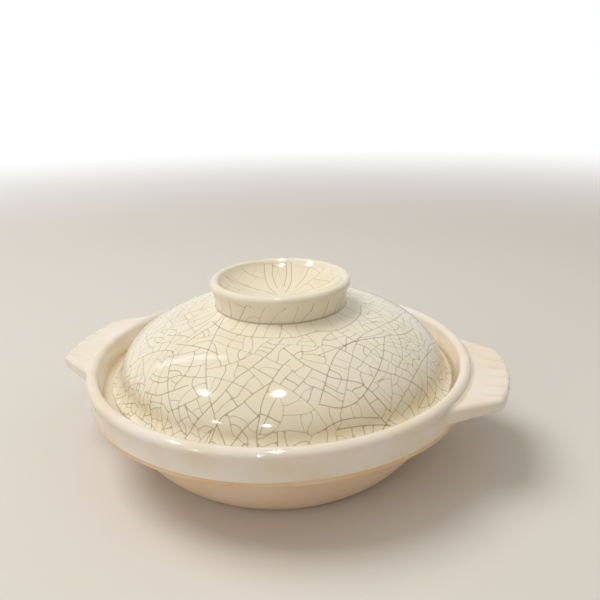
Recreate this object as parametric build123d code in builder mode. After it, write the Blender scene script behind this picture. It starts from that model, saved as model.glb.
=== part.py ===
from build123d import *
import os
from math import acos, asin, atan2, cos, degrees, hypot, radians, sin, sqrt, tan

# A small donabe, in millimetres. The pot stands on z = 0 with its axis on Z, +X points to the right
# ear and +Y to the back. The pot is one fired piece: a shallow bowl with a thick rim band, and two
# fan-shaped ears luted to the band. The lid is the other: a dome with a narrow brim, and a ring-foot
# knob hollowed to a dish, which also serves as the foot when the lid is turned over.

# Rim band of the pot
rim_radius = 95.0  # widest point of the band, just under the lip
rim_rise = 10.7  # from the lid's ledge up to the top of the lip
lip_radius = 3.0  # roundness of the lip
waist_drop = 9.8  # from the lip's top down to the faint hollow round the band
waist_depth = 1.0  # how far the hollow lies inside the rim radius
band_depth = 16.4  # from the lip's top down to the band's lower edge
band_edge_draft = 0.5  # how far that edge lies inside the rim radius
band_edge_round = 1.4
underside_drop = 2.6  # fall of the band's underside from its edge to the body
underside_round = 3.5  # hollow where the underside meets the body

# Body of the pot
wall = 6.0
foot_radius = 64.8
foot_round = 1.2
foot_ring_width = 11.0
foot_recess = 1.2  # the middle of the base is trimmed this much higher than the foot ring
foot_recess_round = 0.6
floor_thickness = 5.8
floor_round = 10.0  # curve between the floor and the wall inside

# Gallery, the stepped seat of the lid
seat_height = 38.9  # height of the ledge above the table
rim_breadth = 7.8  # from the rim's widest point in to the foot of the gallery wall
ledge_width = 10.0  # from the gallery wall in to the mouth
ledge_round = 1.5
gallery_round = 1.0

# Ears
ear_drop = 3.2  # from the lip's top down to the ear's top
ear_reach = 17.6  # how far the ear stands out from the band
ear_bulge = 4.1  # how far its end bows out beyond its corners
ear_root_width = 83.0  # along the band
ear_tip_width = 54.0  # between the corners
ear_root_thickness = 8.6
ear_tip_thickness = 6.2
ear_corner_round = 6.0
ear_edge_round = 2.3
groove_count = 6
groove_radius = 1.7
groove_depth = 0.8
groove_start = 4.3  # where the grooves fade in, measured out from the band
end_rib = 5.0  # from the outermost groove to the ear's corner
groove_fan_share = 1.16  # the grooves' spacing at their start, as a share of that at the tip

# Lid
lid_shift = 1.5  # the lid lies this far to the right of the pot's axis, within its play
seat_gap = 0.3  # glaze thickness between the lid's underside and the ledge
brim_play = 2.4  # gap all round between a centred brim and the gallery wall
brim_width = 4.8
brim_edge_height = 2.0
brim_edge_round = 0.9
flare_rise = 5.6  # above the brim's top edge, where the dome's side flares out to the brim
dome_foot_rise = 3.3  # above the same edge, the level where the dome's side would stand upright
lid_wall = 5.5
dome_rise = 32.9  # from that level to the top that the dome's elliptical side heads for
shoulder_radius = 60.0  # here the side gives way to the flatter crown
steam_hole_radius = 3.8
steam_hole_distance = 52.0  # from the lid's axis, at the back

# Knob
knob_foot_radius = 32.2
knob_height = 12.8  # from the collar to the top of the knob's lip
knob_lip_reach = 2.4  # how far the lip stands out from the foot
knob_lip_round = 2.4  # roundness of the lip
knob_lip_under_angle = 20.0  # the wall meets the lip this far below its widest point
knob_flute = 0.35  # hollow of the wall between the foot and the lip
knob_lip_over_angle = 60.0  # the lip rolls this far past its top, down into the dish
knob_dish_depth = 10.6  # from the top of the lip to the middle of the dish
collar_rise = 2.6  # ring of slip that carries the knob, above the crown
collar_round = 1.0


def on_circle(centre, radius, angle):
    """The point of a circle at an angle in degrees."""
    turn = radians(angle)
    return (centre[0] + radius * cos(turn), centre[1] + radius * sin(turn))


def nearest_vertex(sketch, point):
    """The vertex of a sketch that lies nearest to a point, for rounding one corner."""
    return sketch.vertices().sort_by_distance(Vector(*point))[0]


def reach(edge):
    """How far an edge's middle lies from the pot's axis."""
    middle = edge @ 0.5
    return hypot(middle.X, middle.Y)


# Places that several pieces share
rim_height = seat_height + rim_rise
waist_height = rim_height - waist_drop
band_edge_height = rim_height - band_depth
lip_centre = (rim_radius - lip_radius, rim_height - lip_radius)
band_waist = (rim_radius - waist_depth, waist_height)
band_edge = (rim_radius - band_edge_draft, band_edge_height)

# The band's upper half is an arc that leaves the waist upright and runs tangent into the lip
waist_in = band_waist[0] - lip_centre[0]
waist_down = lip_centre[1] - waist_height
band_arc = (waist_in**2 + waist_down**2 - lip_radius**2) / 2 / (lip_radius - waist_in)
lip_start_angle = -degrees(atan2(waist_down, waist_in + band_arc))
lip_start = on_circle(lip_centre, lip_radius, lip_start_angle)

# The gallery wall leaves the ledge and runs tangent into the lip
gallery_radius = rim_radius - rim_breadth
gallery_foot = (gallery_radius, seat_height)
to_lip = (lip_centre[0] - gallery_radius, lip_centre[1] - seat_height)
lip_distance = hypot(*to_lip)
gallery_angle = degrees(atan2(to_lip[1], to_lip[0]) + asin(lip_radius / lip_distance))
gallery_top = on_circle(gallery_foot, sqrt(lip_distance**2 - lip_radius**2), gallery_angle)

# One arc shapes the body: upright at the ledge, it curves in to the foot, and the inside follows it
mouth_radius = gallery_radius - ledge_width
neck_radius = mouth_radius + wall
body_inset = neck_radius - foot_radius
body_arc = (body_inset**2 + seat_height**2) / (body_inset + body_inset)
body_centre = (neck_radius - body_arc, seat_height)
foot_angle = degrees(atan2(-seat_height, foot_radius - body_centre[0]))
underside_height = band_edge_height - underside_drop
underside_angle = -degrees(asin((seat_height - underside_height) / body_arc))
underside_inner = on_circle(body_centre, body_arc, underside_angle)
inner_arc = body_arc - wall
floor_height = foot_recess + floor_thickness
floor_angle = -degrees(asin((seat_height - floor_height) / inner_arc))
floor_corner = on_circle(body_centre, inner_arc, floor_angle)
foot_ring_inner = foot_radius - foot_ring_width


def draw_band(lip_end_angle):
    """Outside of the rim band, from its lower edge past the waist and round the lip."""
    TangentArc(band_waist, band_edge, tangent=(0, -1))
    TangentArc(band_waist, lip_start, tangent=(0, 1))
    CenterArc(lip_centre, lip_radius, lip_start_angle, lip_end_angle - lip_start_angle)


# Pot: one turned profile from the base's middle, out over the foot and band, and back down inside
with BuildPart() as pot_bowl:
    with BuildSketch(Plane.XZ) as pot_profile:
        with BuildLine():
            Polyline(
                (0, foot_recess),
                (foot_ring_inner, foot_recess),
                (foot_ring_inner, 0),
                (foot_radius, 0),
            )
            CenterArc(body_centre, body_arc, foot_angle, underside_angle - foot_angle)
            Line(underside_inner, band_edge)
            draw_band(gallery_angle + 90)
            Polyline(gallery_top, gallery_foot, (mouth_radius, seat_height))
            CenterArc(body_centre, inner_arc, 0, floor_angle)
            Polyline(floor_corner, (0, floor_height), (0, foot_recess))
        make_face()
        for corner, rounding in (
            ((foot_ring_inner, foot_recess), foot_recess_round),
            ((foot_ring_inner, 0), foot_recess_round / 2),
            ((foot_radius, 0), foot_round),
            (underside_inner, underside_round),
            (band_edge, band_edge_round),
            (gallery_foot, gallery_round),
            ((mouth_radius, seat_height), ledge_round),
            (floor_corner, floor_round),
        ):
            fillet(nearest_vertex(pot_profile, corner), rounding)
    revolve(axis=Axis.Z)

# Filled outside of the band, which trims the ears' roots to its curve
with BuildPart() as band_core:
    with BuildSketch(Plane.XZ):
        with BuildLine():
            Line((0, band_edge_height), band_edge)
            draw_band(90)
            Polyline((lip_centre[0], rim_height), (0, rim_height), (0, band_edge_height))
        make_face()
    revolve(axis=Axis.Z)

# Ears: a slab with a fan-shaped outline that thins towards its end, its edges rounded, then grooved
ear_top = rim_height - ear_drop
ear_end = rim_radius + ear_reach
ear_corner = ear_end - ear_bulge
ear_root = sqrt(rim_radius**2 - (ear_root_width / 2) ** 2)
groove_pitch = (ear_tip_width - 2 * end_rib) / (groove_count - 1)
groove_start_radius = rim_radius + groove_start
side_slope = (ear_root_width - ear_tip_width) / 2 / (ear_corner - ear_root)
underside_slope = (ear_root_thickness - ear_tip_thickness) / (ear_end - ear_root)
ear_back = ear_root - ear_root_thickness
ear_back_half_width = ear_root_width / 2 + side_slope * (ear_root - ear_back)
ear_back_thickness = ear_root_thickness + underside_slope * (ear_root - ear_back)
ear_past = ear_end + ear_reach
ear_past_thickness = ear_tip_thickness - underside_slope * (ear_past - ear_end)

with BuildPart() as ear_right:
    with BuildSketch(Plane.XZ):
        with BuildLine():
            Polyline(
                (ear_back, ear_top),
                (ear_past, ear_top),
                (ear_past, ear_top - ear_past_thickness),
                (ear_back, ear_top - ear_back_thickness),
                close=True,
            )
        make_face()
    extrude(amount=ear_back_half_width, both=True)
    with BuildSketch(Plane.XY) as ear_outline:
        with BuildLine():
            Polyline(
                (ear_corner, ear_tip_width / 2),
                (ear_back, ear_back_half_width),
                (ear_back, -ear_back_half_width),
                (ear_corner, -ear_tip_width / 2),
            )
            ThreePointArc(
                (ear_corner, -ear_tip_width / 2),
                (ear_end, 0),
                (ear_corner, ear_tip_width / 2),
            )
        make_face()
        for side in (1, -1):
            corner = (ear_corner, side * ear_tip_width / 2)
            fillet(nearest_vertex(ear_outline, corner), ear_corner_round)
    extrude(amount=rim_height, mode=Mode.INTERSECT)
    flat_faces = ear_right.faces().filter_by(GeomType.PLANE).sort_by(Axis.Z)
    for level in (flat_faces[-1], flat_faces[0]):
        free_edges = level.edges().sort_by(reach)[1:]
        fillet(free_edges, ear_edge_round)
    add(band_core.part, mode=Mode.SUBTRACT)
    # Each groove is a round cutter that starts level with the ear's top and dips towards the tip
    for number in range(groove_count):
        place = number - (groove_count - 1) / 2
        start_side = place * groove_pitch * groove_fan_share
        start = Vector(
            sqrt(groove_start_radius**2 - start_side**2),
            start_side,
            ear_top + groove_radius,
        )
        end = Vector(ear_end, place * groove_pitch, ear_top + groove_radius - groove_depth)
        with BuildSketch(Plane(origin=start, z_dir=end - start)):
            Circle(groove_radius)
        extrude(amount=(end - start).length + groove_radius, mode=Mode.SUBTRACT)

with BuildPart() as ear_left:
    mirror(ear_right.part, about=Plane.YZ)

# Lid: the dome's side is an ellipse inside and out, and its crown an arc that comes level at the knob
lid_base = seat_height + seat_gap
lid_plane = Plane(origin=(lid_shift, 0, 0), x_dir=(1, 0, 0), z_dir=(0, -1, 0))
lid_axis = Axis((lid_shift, 0, 0), (0, 0, 1))
brim_radius = gallery_radius - brim_play
brim_edge_top = lid_base + brim_edge_height
dome_radius = brim_radius - brim_width
dome_base = brim_edge_top + dome_foot_rise
skirt_inner = dome_radius - lid_wall
inner_rise = dome_rise - lid_wall
shoulder_angle = degrees(acos(shoulder_radius / dome_radius))
flare_turn = asin((flare_rise - dome_foot_rise) / dome_rise)
flare_top = (dome_radius * cos(flare_turn), brim_edge_top + flare_rise)
flare_heading = (dome_radius * sin(flare_turn), -dome_rise * cos(flare_turn))


def find_shoulder(radius, rise):
    """Where an elliptical side ends, the tilt that it has there, and the height of the crown it leads to."""
    turn = radians(shoulder_angle)
    place = (radius * cos(turn), dome_base + rise * sin(turn))
    tilt = atan2(rise * cos(turn), radius * sin(turn))
    crown = place[1] + (place[0] - knob_foot_radius) * tan(tilt / 2)
    return place, tilt, crown


outer_shoulder, outer_tilt, crown_line = find_shoulder(dome_radius, dome_rise)
inner_shoulder, inner_tilt, inner_crown = find_shoulder(skirt_inner, inner_rise)
collar_top = crown_line + collar_rise

with BuildPart() as lid_dome:
    with BuildSketch(lid_plane) as lid_profile:
        with BuildLine():
            Polyline(
                (0, collar_top),
                (knob_foot_radius, collar_top),
                (knob_foot_radius, crown_line),
            )
            TangentArc(
                outer_shoulder,
                (knob_foot_radius, crown_line),
                tangent=(-cos(outer_tilt), sin(outer_tilt)),
            )
            EllipticalCenterArc(
                (0, dome_base),
                dome_radius,
                dome_rise,
                start_angle=degrees(flare_turn),
                arc_size=shoulder_angle - degrees(flare_turn),
            )
            TangentArc(flare_top, (brim_radius, brim_edge_top), tangent=flare_heading)
            Polyline(
                (brim_radius, brim_edge_top),
                (brim_radius, lid_base),
                (skirt_inner, lid_base),
                (skirt_inner, dome_base),
            )
            EllipticalCenterArc(
                (0, dome_base), skirt_inner, inner_rise, start_angle=0, arc_size=shoulder_angle
            )
            TangentArc(
                inner_shoulder,
                (knob_foot_radius, inner_crown),
                tangent=(-cos(inner_tilt), sin(inner_tilt)),
            )
            Polyline((knob_foot_radius, inner_crown), (0, inner_crown), (0, collar_top))
        make_face()
        for corner, rounding in (
            ((knob_foot_radius, crown_line), collar_round),
            ((brim_radius, brim_edge_top), brim_edge_round),
            ((brim_radius, lid_base), brim_edge_round),
            ((skirt_inner, lid_base), brim_edge_round),
        ):
            fillet(nearest_vertex(lid_profile, corner), rounding)
    revolve(axis=lid_axis)
    with BuildSketch(Plane.XY):
        with Locations((lid_shift, steam_hole_distance)):
            Circle(steam_hole_radius)
    extrude(amount=collar_top, mode=Mode.SUBTRACT)

# Knob: a ring foot whose wall leans out to a rolled lip, with the dish sunk inside the ring
knob_top = collar_top + knob_height
knob_lip_centre = (
    knob_foot_radius + knob_lip_reach - knob_lip_round,
    knob_top - knob_lip_round,
)
knob_lip_under = on_circle(knob_lip_centre, knob_lip_round, -knob_lip_under_angle)
knob_wall_middle = (
    (knob_foot_radius + knob_lip_under[0]) / 2 - knob_flute,
    (collar_top + knob_lip_under[1]) / 2,
)

# The dish is an ellipse that leaves the lip at its slope and comes level at the axis
dish_floor = knob_top - knob_dish_depth
dish_start = on_circle(knob_lip_centre, knob_lip_round, 90 + knob_lip_over_angle)
dish_fall = dish_start[1] - dish_floor
fall_share = dish_fall / dish_start[0] / tan(radians(knob_lip_over_angle))
start_share = fall_share / (1 - fall_share)
dish_radius = dish_start[0] / sqrt(1 - start_share**2)
dish_sink = dish_fall / (1 - start_share)

with BuildPart() as lid_knob:
    with BuildSketch(lid_plane):
        with BuildLine():
            ThreePointArc((knob_foot_radius, collar_top), knob_wall_middle, knob_lip_under)
            CenterArc(
                knob_lip_centre,
                knob_lip_round,
                -knob_lip_under_angle,
                knob_lip_under_angle + 90 + knob_lip_over_angle,
            )
            EllipticalCenterArc(
                (0, dish_floor + dish_sink),
                dish_radius,
                dish_sink,
                start_angle=-90,
                arc_size=90 - degrees(asin(start_share)),
            )
            Polyline(
                (0, dish_floor),
                (0, collar_top),
                (knob_foot_radius, collar_top),
            )
        make_face()
    revolve(axis=lid_axis)

pieces = {
    "pot_bowl": pot_bowl,
    "ear_left": ear_left,
    "ear_right": ear_right,
    "lid_dome": lid_dome,
    "lid_knob": lid_knob,
}

os.makedirs("parts", exist_ok=True)
for name, piece in pieces.items():
    piece.part.label = name
    export_step(piece.part, f"parts/{name}.step")
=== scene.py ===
# %% [markdown]
# # A donabe clay pot
# A donabe is a clay pot that cooks at the table. The potter turns a bowl with a thick rim band and presses
# two ribbed ears onto it. The lid is turned by itself, and a ring foot hollowed to a dish makes its knob.
# The pot is dipped in white glaze, the lid in a glaze that crackles. The solids of the frame give every
# size and place, so this lesson starts by loading them, and it works in millimetres from there.
# %% Load the frame
import math

import bpy
import numpy as np
from mathutils import Matrix, Vector, kdtree
from mathutils.geometry import delaunay_2d_cdt


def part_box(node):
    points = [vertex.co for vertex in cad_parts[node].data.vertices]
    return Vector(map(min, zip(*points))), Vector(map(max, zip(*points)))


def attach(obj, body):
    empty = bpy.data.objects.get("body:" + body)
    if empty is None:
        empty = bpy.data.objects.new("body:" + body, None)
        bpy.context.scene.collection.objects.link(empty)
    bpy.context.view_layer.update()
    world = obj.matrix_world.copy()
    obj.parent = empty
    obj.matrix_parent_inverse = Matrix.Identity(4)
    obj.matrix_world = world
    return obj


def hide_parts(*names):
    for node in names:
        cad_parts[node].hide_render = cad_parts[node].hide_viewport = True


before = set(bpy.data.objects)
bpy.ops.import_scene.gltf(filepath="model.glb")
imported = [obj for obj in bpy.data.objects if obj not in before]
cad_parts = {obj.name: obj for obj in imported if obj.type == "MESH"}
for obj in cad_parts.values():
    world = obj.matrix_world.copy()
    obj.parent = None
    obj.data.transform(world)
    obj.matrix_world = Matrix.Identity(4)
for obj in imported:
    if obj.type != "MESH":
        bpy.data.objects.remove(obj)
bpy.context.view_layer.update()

MM = 0.001


def node_box(name):
    """Lowest and highest corner of a solid, in millimetres."""
    low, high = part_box(name)
    return np.array(low) / MM, np.array(high) / MM


# %% [markdown]
# ## The camera
# The pot is seen from a little above its knob, by a lens that is as long as the picture is wide, so its
# near side looks large. The camera is set first, because the longest cracks of the lid
# were read off the picture and are laid on the dome along the camera's own rays.
# %% Camera
picture_width = 600
focal_pixels = 601.0
camera_place = (83.14, -270.07, 173.97)
camera_turn = 14.892
camera_tilt = 19.385
camera_roll = -1.245

camera_axes = (
    Matrix.Rotation(math.radians(camera_turn), 3, "Z")
    @ Matrix.Rotation(math.radians(90 - camera_tilt), 3, "X")
    @ Matrix.Rotation(math.radians(camera_roll), 3, "Z")
)
camera_data = bpy.data.cameras.new("Camera")
camera_data.sensor_width = 36
camera_data.lens = camera_data.sensor_width * focal_pixels / picture_width
camera_data.clip_start = 10 * MM
camera = bpy.data.objects.new("Camera", camera_data)
camera.matrix_world = Matrix.Translation(Vector(camera_place) * MM) @ camera_axes.to_4x4()
bpy.context.scene.collection.objects.link(camera)
bpy.context.scene.camera = camera
print("camera stands", round(math.dist(camera_place, (0, 0, 0))), "mm from the pot's base")

# %% [markdown]
# ## Turned profiles
# Everything round on this pot comes off a wheel, so each round piece is a profile that turns about an
# axis. A profile is a chain of runs, which are lines and arcs, and the corner between two runs is rounded
# as a potter's sponge rounds it. A ball of the right radius is rolled into the corner: its centre is
# where the two runs, moved inwards by the radius, cross each other. That works on any two runs.
# %% Lines, arcs and rounded corners
arc_step = 0.5


def line(*corners):
    """A run of straight stretches through the corners."""
    return np.array(corners, float)


def arc(centre, radii, start, end):
    """A run along a circle or an ellipse, between two angles in degrees."""
    count = max(2, math.ceil(abs(end - start) / arc_step) + 1)
    angles = np.radians(np.linspace(start, end, count))
    wide, high = radii if isinstance(radii, tuple) else (radii, radii)
    return np.stack([centre[0] + wide * np.cos(angles), centre[1] + high * np.sin(angles)], axis=1)


def headings_along(path):
    """The direction of travel at each point of a path, in radians."""
    steps = np.diff(path, axis=0)
    turns = np.unwrap(np.arctan2(steps[:, 1], steps[:, 0]))
    return np.concatenate([turns[:1], (turns[1:] + turns[:-1]) / 2, turns[-1:]])


def beside(path, gap):
    """The path that runs beside another, to the left of its travel."""
    headings = headings_along(path)
    return path + gap * np.stack([-np.sin(headings), np.cos(headings)], axis=1)


def cross(first, second):
    """The cross product of flat vectors."""
    return first[..., 0] * second[..., 1] - first[..., 1] * second[..., 0]


def crossing(path, other):
    """Where two paths cross: the stretch of each path, and the share of it."""
    steps = np.diff(path, axis=0)[:, None]
    other_steps = np.diff(other, axis=0)[None]
    gaps = other[None, :-1] - path[:-1, None]
    with np.errstate(divide="ignore", invalid="ignore"):
        share = cross(gaps, other_steps) / cross(steps, other_steps)
        other_share = cross(gaps, steps) / cross(steps, other_steps)
    met = (share >= 0) & (share <= 1) & (other_share >= 0) & (other_share <= 1)
    here, there = np.argwhere(met)[-1]
    return here, share[here, there], there, other_share[here, there]


def round_corner(before, after, radius):
    """Joins two runs by the arc of a ball that touches both."""
    side = np.sign(cross(before[-1] - before[-2], after[1] - after[0]))
    track = beside(before, side * radius)
    other_track = beside(after, side * radius)
    here, share, there, other_share = crossing(track, other_track)
    centre = track[here] + share * (track[here + 1] - track[here])
    leave = before[here] + share * (before[here + 1] - before[here]) - centre
    meet = after[there] + other_share * (after[there + 1] - after[there]) - centre
    start = math.degrees(math.atan2(leave[1], leave[0]))
    sweep = math.degrees(math.atan2(cross(leave, meet), leave @ meet))
    return np.vstack([before[: here + 1], arc(centre, radius, start, start + sweep), after[there + 1 :]])


def chain(first, *rest):
    """Joins runs into one path. The number before each later run is the radius that rounds the corner."""
    path = first
    for radius, run in zip(rest[::2], rest[1::2]):
        path = round_corner(path, run, radius) if radius else np.vstack([path, run[1:]])
    return path


def lengths_along(path):
    """The distance travelled at each point of a path."""
    return np.concatenate([[0], np.cumsum(np.hypot(*np.diff(path, axis=0).T))])


def stations(path, longest, turn_step):
    """Distances along a path for the rings of a mesh, close together where the path bends."""
    steps = np.diff(path, axis=0)
    turns = np.abs(np.diff(np.unwrap(np.arctan2(steps[:, 1], steps[:, 0]))))
    bend = np.zeros(len(steps))
    bend[:-1] += turns / 2
    bend[1:] += turns / 2
    cost = np.hypot(*steps.T) / longest + np.degrees(bend) / turn_step
    total = np.concatenate([[0], np.cumsum(cost)])
    wanted = np.linspace(0, total[-1], math.ceil(total[-1]) + 1)
    return np.interp(wanted, total, lengths_along(path))


def read_along(path, distances):
    """Points and headings of a path at given distances."""
    lengths = lengths_along(path)
    points = np.stack([np.interp(distances, lengths, path[:, axis]) for axis in (0, 1)], axis=1)
    return points, np.interp(distances, lengths, headings_along(path))


# %% [markdown]
# ## A maker for meshes
# Each piece is put together from patches: rings that were turned, or skins that were cut up along cracks.
# This helper collects their points with the values that the materials read later, joins loops of points
# by strips of faces, and writes one mesh in metres. A node's object stays at the origin, so the place of
# a piece is in its points.
# %% Mesh maker
class Maker:
    """Collects points, their values and the faces between them, for one piece."""

    def __init__(self):
        self.points = []
        self.normals = []
        self.values = {}
        self.faces = []

    def add(self, points, normals=None, **values):
        """Adds points in millimetres and returns their numbers."""
        first = len(self.points)
        points = np.asarray(points, float).reshape(-1, 3)
        self.points.extend(points.tolist())
        if normals is not None:
            self.normals.extend(np.asarray(normals, float).reshape(-1, 3).tolist())
        for name, numbers in values.items():
            column = self.values.setdefault(name, [])
            column.extend([0.0] * (first - len(column)))
            column.extend(np.broadcast_to(numbers, len(points)).tolist())
        return np.arange(first, len(self.points))

    def strip(self, loop, other, closed=True):
        """Faces between two rows of points, which look to the right of the first row's travel."""
        nearer, further = list(loop), list(other)
        if closed:
            nearer.append(loop[0])
            further.append(other[0])
        for place in range(len(nearer) - 1):
            self.faces.append((nearer[place], nearer[place + 1], further[place + 1], further[place]))

    def fan(self, centre, loop):
        """Faces from a point to a closed row round it."""
        for place, here in enumerate(loop):
            self.faces.append((centre, here, loop[(place + 1) % len(loop)]))

    def finish(self, name, material):
        """Writes the mesh and links its object."""
        mesh = bpy.data.meshes.new(name)
        faces = [tuple(int(corner) for corner in face) for face in self.faces]
        mesh.from_pydata((np.array(self.points) * MM).tolist(), [], faces)
        mesh.polygons.foreach_set("use_smooth", [True] * len(mesh.polygons))
        for value_name, column in self.values.items():
            column.extend([0.0] * (len(self.points) - len(column)))
            mesh.attributes.new(value_name, "FLOAT", "POINT").data.foreach_set("value", column)
        mesh.update()
        if self.normals:
            mesh.normals_split_custom_set_from_vertices(self.normals)
        mesh.materials.append(material)
        piece = bpy.data.objects.new(name, mesh)
        bpy.context.scene.collection.objects.link(piece)
        triangles = sum(len(face) - 2 for face in faces)
        print(name, "has", len(self.points), "points and", triangles, "triangles")
        return piece


# %% [markdown]
# ## The hand in the clay
# Nothing thrown on a wheel is quite true. A few long waves across each piece, a tenth of a millimetre
# high, bend its highlights as on the real pot. They only ever sink the surface, so that no piece grows
# past the size of its solid. The waves also give their slope, which turns the normals along with them.
# %% Uneven surface
def make_waves(seed, depth, shortest, longest, count=14):
    """A function that gives the sinking of a surface at any points, and its slope there."""
    random = np.random.default_rng(seed)
    directions = random.normal(size=(count, 3))
    directions /= np.linalg.norm(directions, axis=1)[:, None]
    rates = 2 * math.pi / random.uniform(shortest, longest, count)
    phases = random.uniform(0, 2 * math.pi, count)
    vectors = directions * rates[:, None]

    def waves(points):
        angles = points @ vectors.T + phases
        height = depth * (np.sin(angles).mean(axis=1) - 1)
        slope = depth * np.cos(angles) @ vectors / count
        return height, slope

    return waves


def sink(points, normals, waves):
    """Moves points along their normals by the waves, and turns the normals with them."""
    height, slope = waves(points)
    slope -= normals * np.sum(slope * normals, axis=1)[:, None]
    turned = normals - slope
    turned /= np.linalg.norm(turned, axis=1)[:, None]
    return points + normals * height[:, None], turned


def ease(values):
    """A smooth step from 0 to 1."""
    values = np.clip(values, 0, 1)
    return values * values * (3 - 2 * values)


wave_depth = 0.16
pot_waves = make_waves(seed=3, depth=wave_depth, shortest=45, longest=120)
lid_waves = make_waves(seed=8, depth=wave_depth, shortest=40, longest=110)

# %% [markdown]
# ## The bowl's profile
# The rim band is a thick collar with a faint hollow at its waist, a rolled lip above and a sharp shadow
# below. Inside it steps down to the ledge that carries the lid. The body under it is one arc, which the
# inside follows at the thickness of the wall. The sizes that the frame doesn't tell are the real pot's.
# %% Sizes of the bowl
_, pot_high = node_box("pot_bowl")
rim_radius = pot_high[0]
rim_height = pot_high[2]
lip_radius = 3.0
waist_drop = 9.8
waist_depth = 1.0
band_depth = 16.4
band_edge_draft = 0.5
band_edge_round = 1.4
underside_drop = 2.6
underside_round = 3.5

wall = 6.0
foot_radius = 64.8
foot_round = 1.2
foot_ring_width = 11.0
foot_recess = 1.2
foot_recess_round = 0.6
floor_thickness = 5.8
floor_round = 10.0

rim_rise = 10.7
rim_breadth = 7.8
ledge_width = 10.0
ledge_round = 1.5
gallery_round = 1.0

waist_height = rim_height - waist_drop
band_edge_height = rim_height - band_depth
seat_height = rim_height - rim_rise
gallery_radius = rim_radius - rim_breadth
mouth_radius = gallery_radius - ledge_width
neck_radius = mouth_radius + wall
floor_height = foot_recess + floor_thickness
foot_ring_inner = foot_radius - foot_ring_width


# %% The bowl's outline
def hollow_arc(level_point, other):
    """A run from a point, where it is upright, along an arc to another point."""
    gap = np.array(other) - np.array(level_point)
    reach = (gap @ gap) / (2 * gap[0])
    centre = (level_point[0] + reach, level_point[1])
    start = 0 if reach < 0 else 180
    sweep = math.degrees(math.asin(gap[1] / abs(reach)))
    return arc(centre, abs(reach), start, start + sweep if reach < 0 else start - sweep)


lip_centre = np.array([rim_radius - lip_radius, rim_height - lip_radius])
band_waist = (rim_radius - waist_depth, waist_height)
band_edge = (rim_radius - band_edge_draft, band_edge_height)

waist_in = band_waist[0] - lip_centre[0]
waist_down = lip_centre[1] - waist_height
band_arc = (waist_in**2 + waist_down**2 - lip_radius**2) / 2 / (lip_radius - waist_in)
lip_start = -math.degrees(math.atan2(waist_down, waist_in + band_arc))
band_top_centre = (band_waist[0] + band_arc, waist_height)

to_lip = lip_centre - (gallery_radius, seat_height)
lip_distance = math.hypot(*to_lip)
gallery_slope = math.degrees(math.atan2(to_lip[1], to_lip[0]) + math.asin(lip_radius / lip_distance))

body_inset = neck_radius - foot_radius
body_arc = (body_inset**2 + seat_height**2) / (2 * body_inset)
body_centre = (neck_radius - body_arc, seat_height)
foot_angle = math.degrees(math.atan2(-seat_height, foot_radius - body_centre[0]))
underside_height = band_edge_height - underside_drop
underside_angle = -math.degrees(math.asin((seat_height - underside_height) / body_arc))
inner_arc = body_arc - wall
floor_angle = -math.degrees(math.asin((seat_height - floor_height) / inner_arc))

body_run = arc(body_centre, body_arc, foot_angle, underside_angle)
inner_run = arc(body_centre, inner_arc, 0, floor_angle)
lip_run = arc(lip_centre, lip_radius, lip_start, gallery_slope + 90)
band_run = np.vstack([
    hollow_arc(band_waist, band_edge)[::-1],
    arc(band_top_centre, band_arc, 180, 180 + lip_start)[1:],
    lip_run[1:],
])

bowl_path = chain(
    line((0, foot_recess), (foot_ring_inner, foot_recess)),
    foot_recess_round,
    line((foot_ring_inner, foot_recess), (foot_ring_inner, 0)),
    foot_recess_round / 2,
    line((foot_ring_inner, 0), (foot_radius, 0)),
    foot_round,
    body_run,
    underside_round,
    line(body_run[-1], band_edge),
    band_edge_round,
    band_run,
    0,
    line(lip_run[-1], (gallery_radius, seat_height)),
    gallery_round,
    line((gallery_radius, seat_height), (mouth_radius, seat_height)),
    ledge_round,
    inner_run,
    floor_round,
    line(inner_run[-1], (0, floor_height)),
)
print("bowl profile is", round(lengths_along(bowl_path)[-1]), "mm long")

# %% [markdown]
# ## Materials
# Three finishes cover the pot: a plain white glaze, the lid's crackled glaze, and the clay that stays
# bare on the foot and on the lid's seat. Both glazes thin and gather in pools in the same way, and their
# pooled colour also paints shade into hollows. Both bare places show the same clay, so those effects are
# node groups. The shaders themselves stay in the materials.
# %% Node helpers
def new_tree(name, inputs, outputs):
    """An empty shader node group with the given sockets."""
    tree = bpy.data.node_groups.new(name, "ShaderNodeTree")
    for socket, (kind, default) in inputs.items():
        made = tree.interface.new_socket(socket, in_out="INPUT", socket_type=kind)
        made.default_value = default
    for socket, kind in outputs.items():
        tree.interface.new_socket(socket, in_out="OUTPUT", socket_type=kind)
    return tree


def put(tree, kind, inputs=None, **settings):
    """Adds a node. An input may be a number, a colour, or the output of another node."""
    node = tree.nodes.new(kind)
    for name, value in settings.items():
        setattr(node, name, value)
    for name, value in (inputs or {}).items():
        socket = node.inputs[name]
        if isinstance(value, bpy.types.NodeSocket):
            tree.links.new(value, socket)
        else:
            socket.default_value = value
    return node


def blend(tree, share, first, second):
    """Mixes two colours."""
    node = put(tree, "ShaderNodeMix", data_type="RGBA")
    for place, value in ((0, share), (6, first), (7, second)):
        if isinstance(value, bpy.types.NodeSocket):
            tree.links.new(value, node.inputs[place])
        else:
            node.inputs[place].default_value = value
    return node.outputs[2]


def between(tree, value, low, high, to_low=0.0, to_high=1.0):
    """Maps a stretch of values onto another, with a smooth ease at both ends."""
    sockets = {"Value": value, "From Min": low, "From Max": high, "To Min": to_low, "To Max": to_high}
    return put(tree, "ShaderNodeMapRange", sockets, interpolation_type="SMOOTHSTEP").outputs["Result"]


def combine(tree, operation, first, second):
    """Does a sum on two values."""
    return put(tree, "ShaderNodeMath", {0: first, 1: second}, operation=operation).outputs[0]


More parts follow.
